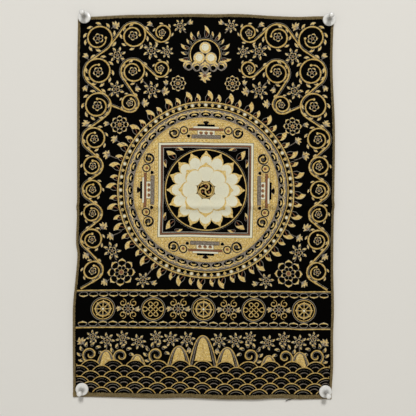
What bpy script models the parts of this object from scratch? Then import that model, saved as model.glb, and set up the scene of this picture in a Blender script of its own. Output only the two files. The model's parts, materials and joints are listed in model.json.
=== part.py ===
"""A thangka panel of woven cloth, hung flat from four push pins.

Lengths are metres, +Z is up and the front of the cloth faces -Y. The plane y = 0 is
the face that the cloth hangs against, and the origin lies on it, at the middle of the
cloth's top edge. The pins' needles run through that plane, towards +Y.
"""

import math
from typing import NamedTuple

import bmesh
import bpy
from mathutils import Vector

MM = 0.001

# The cut of the cloth, and its hem, which is overcast and so a little thicker.
CLOTH_WIDTH = 300 * MM
CLOTH_HEIGHT = 450 * MM
CLOTH_THICKNESS = 1.2 * MM
HEM_THICKNESS = 1.5 * MM
SIDE_HEM = 2.5 * MM
TOP_HEM = 3.0 * MM
BOTTOM_HEM = 4.5 * MM

# The grid that the cloth is shaped on, with closer rows along the storage crease.
GRID_COLUMNS = 24
GRID_ROWS = 36
CREASE_DOWN = 226 * MM
CREASE_ROWS = (-8 * MM, -3 * MM, 3 * MM, 8 * MM)

# How far the back of the cloth stands off the face that it hangs against.
PRESSED_GAP = 0.2 * MM
BASE_LIFT = 0.9 * MM
BELLY_LIFT = 1.8 * MM
PIN_HOLD = 42 * MM

# The pins: a moulded grip with a flange, and a steel needle set in its socket.
NEEDLE_RADIUS = 0.6 * MM
NEEDLE_REACH = 9.0 * MM
NEEDLE_TIP = 2.4 * MM
NEEDLE_TIP_RADIUS = 0.08 * MM
SOCKET_DEPTH = 7.0 * MM
CLEARANCE = 0.3 * MM
FLANGE_RADIUS = 7.5 * MM
FLANGE_LIFT = 0.25 * MM
GRIP_STEPS = 20
NEEDLE_STEPS = 12
HOLE_SIDES = 16
HOLE_CUT_LENGTH = 8 * MM


class EdgeStation(NamedTuple):
    """A place on an edge of the cloth, in mm: how far along it, and how far out of the straight cut."""

    along: float
    out: float


class EdgeLift(NamedTuple):
    """How far one edge of the cloth curls forward, in mm, and how far in from the edge that reaches."""

    height: float
    reach: float


class Fold(NamedTuple):
    """A soft ridge in the cloth, in mm: its two ends, its height and its half width."""

    start_x: float
    start_z: float
    end_x: float
    end_z: float
    height: float
    width: float


class Pin(NamedTuple):
    """A push pin, in mm and degrees: where it enters the cloth, and how its grip leans."""

    name: str
    x: float
    z: float
    lean_right: float
    lean_up: float


LEFT_EDGE = (
    EdgeStation(0, 0.0),
    EdgeStation(225, 0.2),
    EdgeStation(267, 1.4),
    EdgeStation(281, -0.2),
    EdgeStation(351, 5.2),
    EdgeStation(450, 5.7),
)
RIGHT_EDGE = (
    EdgeStation(0, 0.1),
    EdgeStation(56, -1.5),
    EdgeStation(140, 1.3),
    EdgeStation(295, -0.8),
    EdgeStation(345, 0.0),
    EdgeStation(379, -0.9),
    EdgeStation(410, -0.6),
    EdgeStation(450, -2.3),
)
TOP_EDGE = (
    EdgeStation(0, -2.3),
    EdgeStation(68, -0.5),
    EdgeStation(140, 0.4),
    EdgeStation(160, 0.0),
    EdgeStation(181, 0.35),
    EdgeStation(252, -2.9),
    EdgeStation(287, -1.6),
    EdgeStation(300, -1.8),
)
BOTTOM_EDGE = (
    EdgeStation(0, -0.7),
    EdgeStation(50, -0.7),
    EdgeStation(102, 0.1),
    EdgeStation(125, -0.3),
    EdgeStation(184, 1.7),
    EdgeStation(242, 0.7),
    EdgeStation(266, 2.1),
    EdgeStation(300, 2.0),
)

LEFT_LIFT = EdgeLift(2.4, 16)
RIGHT_LIFT = EdgeLift(1.5, 14)
TOP_LIFT = EdgeLift(1.2, 20)
BOTTOM_LIFT = EdgeLift(1.7, 18)

FOLDS = (
    Fold(-153, -227, 152, -225, 1.3, 6),
    Fold(-141, -6, -84, -128, 0.9, 15),
    Fold(144, -8, 66, -74, 1.0, 13),
    Fold(96, -4, 88, -60, 0.9, 15),
    Fold(-152, -300, -70, -338, 0.9, 14),
    Fold(-145, -438, -92, -372, 0.7, 13),
    Fold(60, -452, 40, -392, 0.9, 12),
    Fold(140, -440, 96, -330, 0.8, 16),
)

PINS = (
    Pin("top_left", -141.8, -4.2, 2.0, 2.5),
    Pin("top_right", 144.4, -7.4, -3.0, 3.5),
    Pin("bottom_left", -144.6, -439.1, 1.5, -2.0),
    Pin("bottom_right", 139.8, -441.7, 2.5, -2.5),
)

# The grip's outer side, from its domed end down to the flange's rounded rim, in mm:
# radius, height above the flange's back.
GRIP_PROFILE = (
    (0.0, 15.0),
    (1.7, 14.8),
    (2.75, 14.1),
    (3.1, 13.0),
    (2.95, 11.7),
    (2.2, 9.4),
    (1.7, 7.4),
    (1.75, 5.8),
    (2.5, 3.8),
    (4.1, 2.6),
    (6.2, 2.1),
    (7.2, 1.7),
    (7.5, 1.0),
    (7.2, 0.35),
    (6.4, 0.0),
)


def clear_scene():
    """Remove every object that the scene holds."""
    for item in list(bpy.data.objects):
        bpy.data.objects.remove(item, do_unlink=True)


def new_collection(name):
    """A new collection in the scene."""
    collection = bpy.data.collections.new(name)
    bpy.context.scene.collection.children.link(collection)
    return collection


def new_material(name, color, roughness, metallic):
    """A plain finish: linear RGB colour, roughness and metallic value."""
    material = bpy.data.materials.new(name)
    material.use_nodes = True
    shader = material.node_tree.nodes["Principled BSDF"]
    shader.inputs["Base Color"].default_value = (*color, 1.0)
    shader.inputs["Roughness"].default_value = roughness
    shader.inputs["Metallic"].default_value = metallic
    return material


def eased(t):
    """Smooth step from 0 to 1, flat at both ends."""
    t = min(max(t, 0.0), 1.0)
    return t * t * (3 - 2 * t)


def edge_offset(stations, along):
    """How far an edge lies outside its straight cut, at a distance along it."""
    for start, end in zip(stations, stations[1:]):
        if along <= end.along * MM:
            t = (along / MM - start.along) / (end.along - start.along)
            return (start.out + (end.out - start.out) * eased(t)) * MM
    return stations[-1].out * MM


def distance_to_fold(fold, x, z):
    """Distance from a place on the cloth to the line of a fold."""
    start = Vector((fold.start_x, fold.start_z)) * MM
    line = Vector((fold.end_x, fold.end_z)) * MM - start
    place = Vector((x, z)) - start
    t = min(max(place.dot(line) / line.length_squared, 0.0), 1.0)
    return (place - line * t).length


def edge_curl(lift, distance):
    """Forward curl of the cloth at a distance in from one edge."""
    return lift.height * MM * math.exp(-max(distance, 0.0) / (lift.reach * MM))


def stand_off(x, z):
    """Gap behind the cloth: nearly none at the pins, most at the edges, folds and belly."""
    u = min(max(x / CLOTH_WIDTH + 0.5, 0.0), 1.0)
    v = min(max(-z / CLOTH_HEIGHT, 0.0), 1.0)
    lift = BASE_LIFT + BELLY_LIFT * math.sin(math.pi * u) * math.sin(math.pi * v)
    lift += edge_curl(LEFT_LIFT, CLOTH_WIDTH / 2 + x)
    lift += edge_curl(RIGHT_LIFT, CLOTH_WIDTH / 2 - x)
    lift += edge_curl(TOP_LIFT, -z)
    lift += edge_curl(BOTTOM_LIFT, CLOTH_HEIGHT + z)
    for fold in FOLDS:
        lift += fold.height * MM * math.exp(-((distance_to_fold(fold, x, z) / (fold.width * MM)) ** 2))
    free = 1.0
    for pin in PINS:
        reach = math.hypot(x - pin.x * MM, z - pin.z * MM) / PIN_HOLD
        free *= 1 - math.exp(-reach * reach)
    return PRESSED_GAP + free * lift


def cloth_point(u, v):
    """Place on the back of the cloth: u runs from left to right, v from top to bottom."""
    across = u * CLOTH_WIDTH
    down = v * CLOTH_HEIGHT
    left = -CLOTH_WIDTH / 2 - edge_offset(LEFT_EDGE, down)
    right = CLOTH_WIDTH / 2 + edge_offset(RIGHT_EDGE, down)
    top = edge_offset(TOP_EDGE, across)
    bottom = -CLOTH_HEIGHT - edge_offset(BOTTOM_EDGE, across)
    x = left + (right - left) * u
    z = top + (bottom - top) * v
    return Vector((x, -stand_off(x, z), z))


def grid_lines(length, count, first_hem, last_hem, extra=()):
    """Places of the grid's lines along one side, as shares of its length, hems included."""
    inner = length - first_hem - last_hem
    places = [0.0, length]
    places += [first_hem + inner * i / count for i in range(count + 1)]
    spacing = inner / count
    places = [p for p in places if all(abs(p - e) > spacing / 4 for e in extra)]
    return [p / length for p in sorted([*places, *extra])]


def build_cloth(collection):
    """The woven panel: one sheet with the uneven outline, the soft folds and the thicker hem."""
    crease = [CREASE_DOWN + step for step in CREASE_ROWS] + [CREASE_DOWN]
    us = grid_lines(CLOTH_WIDTH, GRID_COLUMNS, SIDE_HEM, SIDE_HEM)
    vs = grid_lines(CLOTH_HEIGHT, GRID_ROWS, TOP_HEM, BOTTOM_HEM, crease)

    mesh = bpy.data.meshes.new("panel")
    sheet = bmesh.new()
    bmesh.ops.create_grid(sheet, x_segments=len(us) - 1, y_segments=len(vs) - 1, size=0.5)
    rim = {vertex for vertex in sheet.verts if vertex.is_boundary}
    for vertex in sheet.verts:
        column = round((vertex.co.x + 0.5) * (len(us) - 1))
        row = round((0.5 - vertex.co.y) * (len(vs) - 1))
        vertex.co = cloth_point(us[column], vs[row])
    sheet.verts.index_update()
    rim_indices = [vertex.index for vertex in rim]
    sheet.normal_update()
    sheet.to_mesh(mesh)
    sheet.free()

    panel = bpy.data.objects.new("panel", mesh)
    collection.objects.link(panel)
    panel.data.materials.append(new_material("woven_cloth", (0.16, 0.12, 0.06), 0.75, 0.0))
    hem = panel.vertex_groups.new(name="hem")
    hem.add(rim_indices, 1.0, "REPLACE")

    body = panel.modifiers.new("cloth_body", "SOLIDIFY")
    body.thickness = HEM_THICKNESS
    body.offset = 1.0
    body.vertex_group = hem.name
    body.thickness_vertex_group = CLOTH_THICKNESS / HEM_THICKNESS
    body.use_even_offset = True
    panel.data.shade_smooth()
    return panel


def pin_frame(pin, collection):
    """The empty that a pin hangs on: its local +Z runs out of the cloth, along the grip."""
    direction = Vector((math.tan(math.radians(pin.lean_right)), -1.0, math.tan(math.radians(pin.lean_up))))
    tilt = FLANGE_RADIUS * math.hypot(direction.x, direction.z)
    front = stand_off(pin.x * MM, pin.z * MM) + HEM_THICKNESS
    frame = bpy.data.objects.new(f"pin_{pin.name}", None)
    frame.location = (pin.x * MM, -front - FLANGE_LIFT - CLEARANCE - tilt, pin.z * MM)
    frame.rotation_mode = "QUATERNION"
    frame.rotation_quaternion = direction.to_track_quat("Z", "Y")
    frame.empty_display_size = FLANGE_RADIUS
    collection.objects.link(frame)
    return frame


def turned_piece(name, profile, steps, frame, material, collection):
    """A turned piece on a pin's frame, from its profile run down the outer side."""
    mesh = bpy.data.meshes.new(name)
    edges = [(i, i + 1) for i in range(len(profile) - 1)]
    mesh.from_pydata([(radius, 0.0, height) for radius, height in profile], edges, [])
    piece = bpy.data.objects.new(name, mesh)
    piece.parent = frame
    piece.data.materials.append(material)
    turn = piece.modifiers.new("turn", "SCREW")
    turn.axis = "Z"
    turn.steps = steps
    turn.render_steps = steps
    turn.use_merge_vertices = True
    turn.merge_threshold = 0.00001
    turn.use_smooth_shade = True
    collection.objects.link(piece)
    return piece


def grip_outline():
    """Outline of the grip in metres, with the needle's blind socket up its middle."""
    socket_radius = NEEDLE_RADIUS + CLEARANCE
    outline = [(radius * MM, height * MM) for radius, height in GRIP_PROFILE]
    return outline + [(socket_radius, 0.0), (socket_radius, SOCKET_DEPTH), (0.0, SOCKET_DEPTH)]


def needle_outline(frame):
    """Outline of the needle in metres, from its seat in the socket to its point behind the cloth."""
    seat = SOCKET_DEPTH - CLEARANCE
    point = -NEEDLE_REACH + frame.location.y
    return [
        (0.0, seat),
        (NEEDLE_RADIUS, seat),
        (NEEDLE_RADIUS, point + NEEDLE_TIP),
        (NEEDLE_TIP_RADIUS, point),
        (0.0, point),
    ]


def cut_needle_hole(panel, pin, frame, collection):
    """Cut the needle's hole through the cloth, square to the pin."""
    mesh = bpy.data.meshes.new(f"cutter_{pin.name}")
    hole = bmesh.new()
    radius = NEEDLE_RADIUS + CLEARANCE
    bmesh.ops.create_cone(hole, cap_ends=True, segments=HOLE_SIDES, radius1=radius, radius2=radius,
                          depth=HOLE_CUT_LENGTH)
    hole.to_mesh(mesh)
    hole.free()
    cutter = bpy.data.objects.new(f"cutter_{pin.name}", mesh)
    cutter.parent = frame
    cutter.hide_render = True
    cutter.display_type = "WIRE"
    collection.objects.link(cutter)
    cut = panel.modifiers.new(f"hole_{pin.name}", "BOOLEAN")
    cut.operation = "DIFFERENCE"
    cut.solver = "EXACT"
    cut.object = cutter


def main():
    """Build the cloth and its four pins."""
    clear_scene()
    parts = new_collection("thangka_wall_hanging")
    cutters = new_collection("cutters")
    plastic = new_material("white_plastic", (0.78, 0.78, 0.74), 0.3, 0.0)
    steel = new_material("needle_steel", (0.62, 0.62, 0.62), 0.3, 1.0)
    panel = build_cloth(parts)
    for pin in PINS:
        frame = pin_frame(pin, parts)
        turned_piece(f"grip_{pin.name}", grip_outline(), GRIP_STEPS, frame, plastic, parts)
        turned_piece(f"needle_{pin.name}", needle_outline(frame), NEEDLE_STEPS, frame, steel, parts)
        cut_needle_hole(panel, pin, frame, cutters)


main()
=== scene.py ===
"""The looks of a woven thangka panel that hangs flat from four push pins.

The cloth is drawn flat first. Design points are complex numbers in mm: the real part
runs across the cloth from its middle, the imaginary part runs up from its top edge.
Strokes and patches of thread become thin raised meshes there, and HangingCloth.hang()
then lays them on the folds in which the cloth hangs.
"""

from __future__ import annotations

import cmath
import json
import logging
import math
from collections.abc import Sequence
from dataclasses import dataclass, field, replace
from enum import Enum

import bmesh
import bpy
import numpy as np
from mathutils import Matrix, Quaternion, Vector

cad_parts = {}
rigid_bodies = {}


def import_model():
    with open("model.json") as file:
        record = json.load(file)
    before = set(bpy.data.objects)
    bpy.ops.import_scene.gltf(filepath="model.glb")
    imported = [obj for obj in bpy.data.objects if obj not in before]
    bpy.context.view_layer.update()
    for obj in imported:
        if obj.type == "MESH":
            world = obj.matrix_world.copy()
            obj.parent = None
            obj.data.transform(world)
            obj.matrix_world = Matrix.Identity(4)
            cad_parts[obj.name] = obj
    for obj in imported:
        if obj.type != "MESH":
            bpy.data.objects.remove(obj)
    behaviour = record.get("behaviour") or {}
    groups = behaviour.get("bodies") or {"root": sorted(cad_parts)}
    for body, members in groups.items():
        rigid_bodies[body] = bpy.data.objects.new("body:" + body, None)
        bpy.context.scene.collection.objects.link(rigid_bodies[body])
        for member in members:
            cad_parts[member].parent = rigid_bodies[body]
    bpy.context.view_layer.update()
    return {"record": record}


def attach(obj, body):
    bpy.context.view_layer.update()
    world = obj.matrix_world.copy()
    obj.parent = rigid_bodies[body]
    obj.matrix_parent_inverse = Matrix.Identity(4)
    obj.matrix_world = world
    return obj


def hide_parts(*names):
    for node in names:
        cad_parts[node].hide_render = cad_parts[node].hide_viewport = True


MM = 0.001
BODY = "root"
LOG = logging.getLogger("thangka")

RGB = tuple[float, float, float]
Socket = bpy.types.NodeSocket
Links = dict[str | int, object]


class Thread(Enum):
    """The threads that the cloth is woven from."""

    BLACK = "black"
    GOLD = "gold"
    CREAM = "cream"
    TAUPE = "taupe"
    SILVER = "silver"
    RUST = "rust"


class HemSide(Enum):
    """The sides of the cloth, in the order in which its edge is walked with the cloth on the left."""

    BOTTOM = 0
    RIGHT = 1
    TOP = 2
    LEFT = 3


@dataclass(frozen=True)
class EdgeTable:
    """An edge's waviness, in mm: places along it, and how far out of the straight cut it lies there."""

    along: tuple[float, ...]
    out: tuple[float, ...]

    def at(self, distance: np.ndarray) -> np.ndarray:
        """How far out the edge lies.

        Args:
            distance: Distances along the edge, in mm.

        Returns:
            Offsets from the straight cut, in mm, eased from place to place.
        """
        along = np.array(self.along)
        out = np.array(self.out)
        end = np.clip(np.searchsorted(along, distance), 1, len(along) - 1)
        share = np.clip((distance - along[end - 1]) / (along[end] - along[end - 1]), 0, 1)
        return out[end - 1] + (out[end] - out[end - 1]) * share * share * (3 - 2 * share)


@dataclass(frozen=True)
class Fold:
    """A soft ridge in the cloth, in mm: its two ends, its height and its half width."""

    start: complex
    end: complex
    height: float
    width: float

    def lift(self, place: np.ndarray) -> np.ndarray:
        """How far the ridge lifts the cloth.

        Args:
            place: Places on the cloth as complex numbers, in mm.

        Returns:
            Lifts in mm.
        """
        line = self.end - self.start
        share = np.clip(((place - self.start) * np.conj(line)).real / abs(line) ** 2, 0, 1)
        distance = np.abs(place - self.start - line * share)
        return self.height * np.exp(-((distance / self.width) ** 2))


@dataclass(frozen=True)
class EdgeLift:
    """How far one edge of the cloth curls forward, and how far in from it that reaches, in mm."""

    height: float
    reach: float

    def lift(self, distance: np.ndarray) -> np.ndarray:
        """The curl's lift at distances in from the edge, in mm."""
        return self.height * np.exp(-np.maximum(distance, 0) / self.reach)


@dataclass(frozen=True)
class HangingCloth:
    """The form in which the cloth hangs: its solid's outline, folds and gaps. Sizes in mm.

    The crease across its middle is sharper than the solid's, and the hem draws its edges in.
    """

    width: float = 300.0
    height: float = 450.0
    # The gap behind it at a pin, what it hangs further off elsewhere, and what its middle adds.
    pressed_gap: float = 0.2
    base_lift: float = 0.9
    belly_lift: float = 1.8
    # The pins that hold it, and how far from one the cloth hangs free again.
    pins: tuple[complex, ...] = ()
    pin_hold: float = 42.0
    # Its front over the solid's back, and the thickness of the ground.
    front: float = 1.2
    thickness: float = 0.8
    # How far the hem draws the cut edges in: at the sides, and at the top and foot.
    drawn_in: complex = 0.5 + 1.2j
    # How high the crease lies, how far to both sides of it all is cut in rows, and their distance.
    crease: float = -225.2
    crease_reach: float = 9.6
    crease_step: float = 1.2
    left_edge: EdgeTable = EdgeTable((0, 225, 267, 281, 351, 450), (0.0, 0.2, 1.4, -0.2, 5.2, 5.7))
    right_edge: EdgeTable = EdgeTable(
        (0, 56, 140, 295, 345, 379, 410, 450), (0.1, -1.5, 1.3, -0.8, 0.0, -0.9, -0.6, -2.3)
    )
    top_edge: EdgeTable = EdgeTable(
        (0, 68, 140, 160, 181, 252, 287, 300), (-2.3, -0.5, 0.4, 0.0, 0.35, -2.9, -1.6, -1.8)
    )
    bottom_edge: EdgeTable = EdgeTable(
        (0, 50, 102, 125, 184, 242, 266, 300), (-0.7, -0.7, 0.1, -0.3, 1.7, 0.7, 2.1, 2.0)
    )
    left_lift: EdgeLift = EdgeLift(2.4, 16)
    right_lift: EdgeLift = EdgeLift(1.5, 14)
    top_lift: EdgeLift = EdgeLift(1.2, 20)
    bottom_lift: EdgeLift = EdgeLift(1.7, 18)
    folds: tuple[Fold, ...] = (
        Fold(-153 - 226.2j, 152 - 224.2j, 2.8, 4.5),
        Fold(-141 - 6j, -84 - 128j, 0.9, 15),
        Fold(144 - 8j, 66 - 74j, 1.0, 13),
        Fold(96 - 4j, 88 - 60j, 0.9, 15),
        Fold(-152 - 300j, -70 - 338j, 0.9, 14),
        Fold(-145 - 438j, -92 - 372j, 0.7, 13),
        Fold(60 - 452j, 40 - 392j, 0.9, 12),
        Fold(140 - 440j, 96 - 330j, 0.8, 16),
    )

    def stand_off(self, place: np.ndarray) -> np.ndarray:
        """Gap behind the cloth.

        Args:
            place: Places on the hanging cloth as complex numbers, in mm.

        Returns:
            Gaps between the hanging plane and the solid's back, in mm.
        """
        u = np.clip(place.real / self.width + 0.5, 0, 1)
        v = np.clip(-place.imag / self.height, 0, 1)
        lift = self.base_lift + self.belly_lift * np.sin(np.pi * u) * np.sin(np.pi * v)
        lift = lift + self.left_lift.lift(self.width / 2 + place.real)
        lift = lift + self.right_lift.lift(self.width / 2 - place.real)
        lift = lift + self.top_lift.lift(-place.imag)
        lift = lift + self.bottom_lift.lift(self.height + place.imag)
        for fold in self.folds:
            lift = lift + fold.lift(place)
        free = np.ones(len(place))
        for pin in self.pins:
            free = free * (1 - np.exp(-((np.abs(place - pin) / self.pin_hold) ** 2)))
        return self.pressed_gap + free * lift

    def cut_for_crease(self, mesh: bpy.types.Mesh, offset: float) -> None:
        """Cut a flat mesh along close rows at the crease, so that all that lies there bends alike.

        Args:
            mesh: The mesh, in mm.
            offset: How far up the cloth its origin goes.
        """
        reach = self.crease_reach
        rows = self.crease - offset + np.arange(-reach, reach + self.crease_step / 2, self.crease_step)
        sheet = bmesh.new()
        sheet.from_mesh(mesh)
        band = [face for face in sheet.faces if min(vertex.co.y for vertex in face.verts) < rows[-1]
                and max(vertex.co.y for vertex in face.verts) > rows[0]]
        geometry = [*band, *dict.fromkeys(edge for face in band for edge in face.edges),
                    *dict.fromkeys(vertex for face in band for vertex in face.verts)]
        for row in rows if band else ():
            geometry = bmesh.ops.bisect_plane(sheet, geom=geometry, dist=0.0001, plane_co=(0, row, 0),
                                              plane_no=(0, 1, 0))["geom"]
        sheet.to_mesh(mesh)
        sheet.free()

    def hang(self, mesh: bpy.types.Mesh, middle: complex = 0) -> None:
        """Lay a flat mesh on the hanging cloth.

        Args:
            mesh: The mesh: x across, y up and z over the cloth's face, in mm. It ends in metres.
            middle: Where its origin goes on the cloth.
        """
        self.cut_for_crease(mesh, middle.imag)
        flat = points_of(mesh) + (middle.real, middle.imag, 0)
        u = flat[:, 0] / self.width + 0.5
        v = -flat[:, 1] / self.height
        half, inset, low = self.width / 2 - self.drawn_in.real, self.drawn_in.imag, -self.height
        left = -half - self.left_edge.at(v * self.height)
        right = half + self.right_edge.at(v * self.height)
        top = self.top_edge.at(u * self.width) - inset
        bottom = low - self.bottom_edge.at(u * self.width) + inset
        x = left + (right - left) * u
        z = top + (bottom - top) * v
        gap = self.stand_off(x + 1j * z)
        hung = np.stack([x, -gap - self.front - flat[:, 2], z], axis=1) * MM
        mesh.vertices.foreach_set("co", hung.astype(np.float32).ravel())
        mesh.update()


# Meshes and objects


def points_of(mesh: bpy.types.Mesh) -> np.ndarray:
    """The places of a mesh's points, one row each."""
    flat = np.empty(len(mesh.vertices) * 3, dtype=np.float32)
    mesh.vertices.foreach_get("co", flat)
    return flat.reshape(-1, 3).astype(float)


def linked(name: str, data: bpy.types.ID) -> bpy.types.Object:
    """Make an object of some data and link it to the scene."""
    item = bpy.data.objects.new(name, data)
    bpy.context.scene.collection.objects.link(item)
    return item


def baked(host: bpy.types.Object) -> bpy.types.Mesh:
    """The plain mesh that an object's modifiers make. The object is removed."""
    graph = bpy.context.evaluated_depsgraph_get()
    mesh = bpy.data.meshes.new_from_object(host.evaluated_get(graph), depsgraph=graph)
    bpy.data.objects.remove(host, do_unlink=True)
    return mesh


# Node trees and finishes


class NodeMaker:
    """A node tree in the making, and short ways to add to it."""

    def __init__(self, tree: bpy.types.NodeTree, inputs: dict[str, str] | None = None) -> None:
        """Empty the tree, and give it named inputs, each with its socket type."""
        self.tree = tree
        tree.nodes.clear()
        for label, kind in (inputs or {}).items():
            tree.interface.new_socket(label, in_out="INPUT", socket_type=f"NodeSocket{kind}")
        self.source = self.node("NodeGroupInput").outputs if inputs else None

    def node(self, kind: str, links: Links | None = None, **values: object) -> bpy.types.Node:
        """Add a node.

        Args:
            kind: The node's type.
            links: For each input, the socket that feeds it or its plain value.
            values: The node's attributes.

        Returns:
            The node.
        """
        node = self.tree.nodes.new(kind)
        for name, value in values.items():
            setattr(node, name, value)
        for name, value in (links or {}).items():
            if isinstance(value, Socket):
                self.tree.links.new(value, node.inputs[name])
            else:
                node.inputs[name].default_value = value
        return node

    def math(self, operation: str, *operands: Socket | float, clamp: bool = False) -> Socket:
        """A math node on sockets or plain values."""
        links = dict(enumerate(operands))
        return self.node("ShaderNodeMath", links, operation=operation, use_clamp=clamp).outputs[0]

    def noise(self, vector: Socket, scale: float = 1.0, detail: float = 1.0) -> Socket:
        """Noise on a vector."""
        links = {"Vector": vector, "Scale": scale, "Detail": detail}
        return self.node("ShaderNodeTexNoise", links).outputs["Fac"]

    def finish(self, kind: str, results: dict[str, Socket]) -> None:
        """Give the tree named outputs of one socket type, each fed by a socket."""
        for label in results:
            self.tree.interface.new_socket(label, in_out="OUTPUT", socket_type=f"NodeSocket{kind}")
        self.node("NodeGroupOutput", results)


class ShaderMaker(NodeMaker):
    """A material in the making."""

    def __init__(self, name: str) -> None:
        """Make an empty node material of that name."""
        self.material = bpy.data.materials.new(name)
        self.material.use_nodes = True
        super().__init__(self.material.node_tree)

    def object_coordinates(self, scale: tuple[float, float, float] = (1.0, 1.0, 1.0)) -> Socket:
        """The object coordinates, stretched by a scale."""
        plain = self.node("ShaderNodeTexCoord").outputs["Object"]
        return self.node("ShaderNodeMapping", {"Vector": plain, "Scale": scale}).outputs["Vector"]

    def attribute(self, name: str) -> Socket:
        """A value that the mesh stores at its points."""
        return self.node("ShaderNodeAttribute", attribute_name=name).outputs["Fac"]

    def mix(self, first: RGB | Socket, second: RGB, factor: Socket, share: float = 1.0) -> Socket:
        """Mix two colours.

        Args:
            first: The colour where the factor is 0.
            second: The colour where it is 1.
            factor: What mixes them.
            share: What the factor is multiplied by.

        Returns:
            The mixed colour.
        """
        start = (*first, 1) if isinstance(first, tuple) else first
        links = {0: self.scaled(factor, share), 6: start, 7: (*second, 1)}
        return self.node("ShaderNodeMix", links, data_type="RGBA").outputs[2]

    def scaled(self, source: Socket, factor: float, add: float = 0.0) -> Socket:
        """A value times a factor, plus an amount."""
        return self.math("MULTIPLY_ADD", source, factor, add)

    def bump(self, height: Socket, distance: float) -> Socket:
        """A bump normal from a height of 0 to 1 that stands for a distance in metres."""
        links = {"Strength": 1.0, "Distance": distance, "Height": height}
        return self.node("ShaderNodeBump", links).outputs["Normal"]

    def principled(self, sockets: Links) -> Socket:
        """Add a Principled BSDF with these values and links."""
        return self.node("ShaderNodeBsdfPrincipled", sockets).outputs["BSDF"]

    def surfaced(self, shader: Socket) -> bpy.types.Material:
        """Put a shader on the material's surface, and return the material."""
        self.node("ShaderNodeOutputMaterial", {"Surface": shader})
        return self.material


@dataclass(frozen=True)
class ThreadFinish:
    """How one thread looks when woven. Colours are linear; lengths are in mm.

    It has a main colour, a painted shade between its threads, a tint that comes and goes in the
    grain, single flecks, and painted shade on the edge where a raised line of it ends.
    """

    name: str
    color: RGB
    painted_shade: RGB
    tint: RGB
    fleck: RGB
    roughness: float = 0.55
    metallic: float = 0.0
    sheen: float = 0.0
    specular: float = 0.3
    # How strongly the painted shade, the tint and the flecks show, and the painted shade at a line's edge.
    shares: tuple[float, float, float] = (0.5, 0.6, 0.5)
    painted_edge_shade: float = 0.6
    # The distance of the rows, a float's length in rows, and each row's shift in floats.
    pitch: float = 0.42
    float_length: float = 2.4
    slant: float = 0.37
    grain_size: float = 1.3
    relief: float = 0.09

    def material(self, weave: bpy.types.ShaderNodeTree) -> bpy.types.Material:
        """Make the finish's material.

        Args:
            weave: The shared node group of woven threads.

        Returns:
            The material.
        """
        maker = ShaderMaker(self.name)
        of = maker.node("ShaderNodeGroup", node_tree=weave, links={
            "Vector": maker.object_coordinates(), "Pitch": self.pitch * MM, "Slant": self.slant,
            "Float Length": self.float_length, "Grain Size": self.grain_size * MM,
        }).outputs
        in_shadow, in_grain, in_flecks = self.shares
        color = maker.mix(self.color, self.tint, of["Grain"], in_grain)
        color = maker.mix(color, self.fleck, of["Fleck"], in_flecks)
        # Painted shade: the colour darkens where the woven threads dip, as if shaded between them.
        color = maker.mix(color, self.painted_shade, of["Shadow"], in_shadow)
        # Painted shade: the colour darkens toward a raised line's edge, where its side falls away.
        color = maker.mix(color, self.painted_shade, maker.attribute("edge"), self.painted_edge_shade)
        return maker.surfaced(maker.principled({
            "Base Color": color, "Metallic": self.metallic, "Sheen Weight": self.sheen,
            "Specular IOR Level": self.specular, "Normal": maker.bump(of["Height"], self.relief * MM),
            "Roughness": maker.scaled(of["Grain"], 0.16, self.roughness - 0.08),
        }))


def woven_threads() -> bpy.types.ShaderNodeTree:
    """Build the shared group of woven threads: rows of floats, tied down in a slanting order.

    Returns:
        A group that puts out Height, Shadow, Grain and Fleck, each from 0 to 1.
    """
    maker = NodeMaker(bpy.data.node_groups.new("woven_threads", "ShaderNodeTree"), {
        "Vector": "Vector", "Pitch": "Float", "Float Length": "Float", "Slant": "Float",
        "Grain Size": "Float",
    })
    given, math_node = maker.source, maker.math

    def bow(place: Socket) -> Socket:
        """An arch over each whole step of a place."""
        return math_node("SINE", math_node("MULTIPLY", math_node("FRACT", place), math.pi))

    def grains(scale: float, detail: float, middle: float, contrast: float) -> Socket:
        """Noise in the cloth's plane, in units of the grain size, with more contrast about a middle."""
        value = math_node("SUBTRACT", maker.noise(plane, scale, detail), middle)
        spread = math_node("MULTIPLY_ADD", value, contrast, 0.5)
        return math_node("MINIMUM", math_node("MAXIMUM", spread, 0.0), 1.0)

    split = maker.node("ShaderNodeSeparateXYZ", {"Vector": given["Vector"]}).outputs
    plane = maker.node("ShaderNodeCombineXYZ", {
        "X": math_node("DIVIDE", split["X"], given["Grain Size"]),
        "Y": math_node("DIVIDE", split["Z"], given["Grain Size"]),
    }).outputs["Vector"]
    row = math_node("DIVIDE", split["Z"], given["Pitch"])
    run = math_node("MULTIPLY", given["Pitch"], given["Float Length"])
    shifted = math_node("MULTIPLY_ADD", math_node("FLOOR", row), given["Slant"],
                        math_node("DIVIDE", split["X"], run))
    height = math_node("MULTIPLY", math_node("POWER", bow(row), 0.6), math_node("POWER", bow(shifted), 0.4))
    maker.finish("Float", {
        "Height": height, "Shadow": math_node("SUBTRACT", 1.0, height),
        "Grain": grains(0.55, 3.0, 0.5, 3.6), "Fleck": grains(1.25, 1.0, 0.58, 7.0),
    })
    return maker.tree


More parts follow.
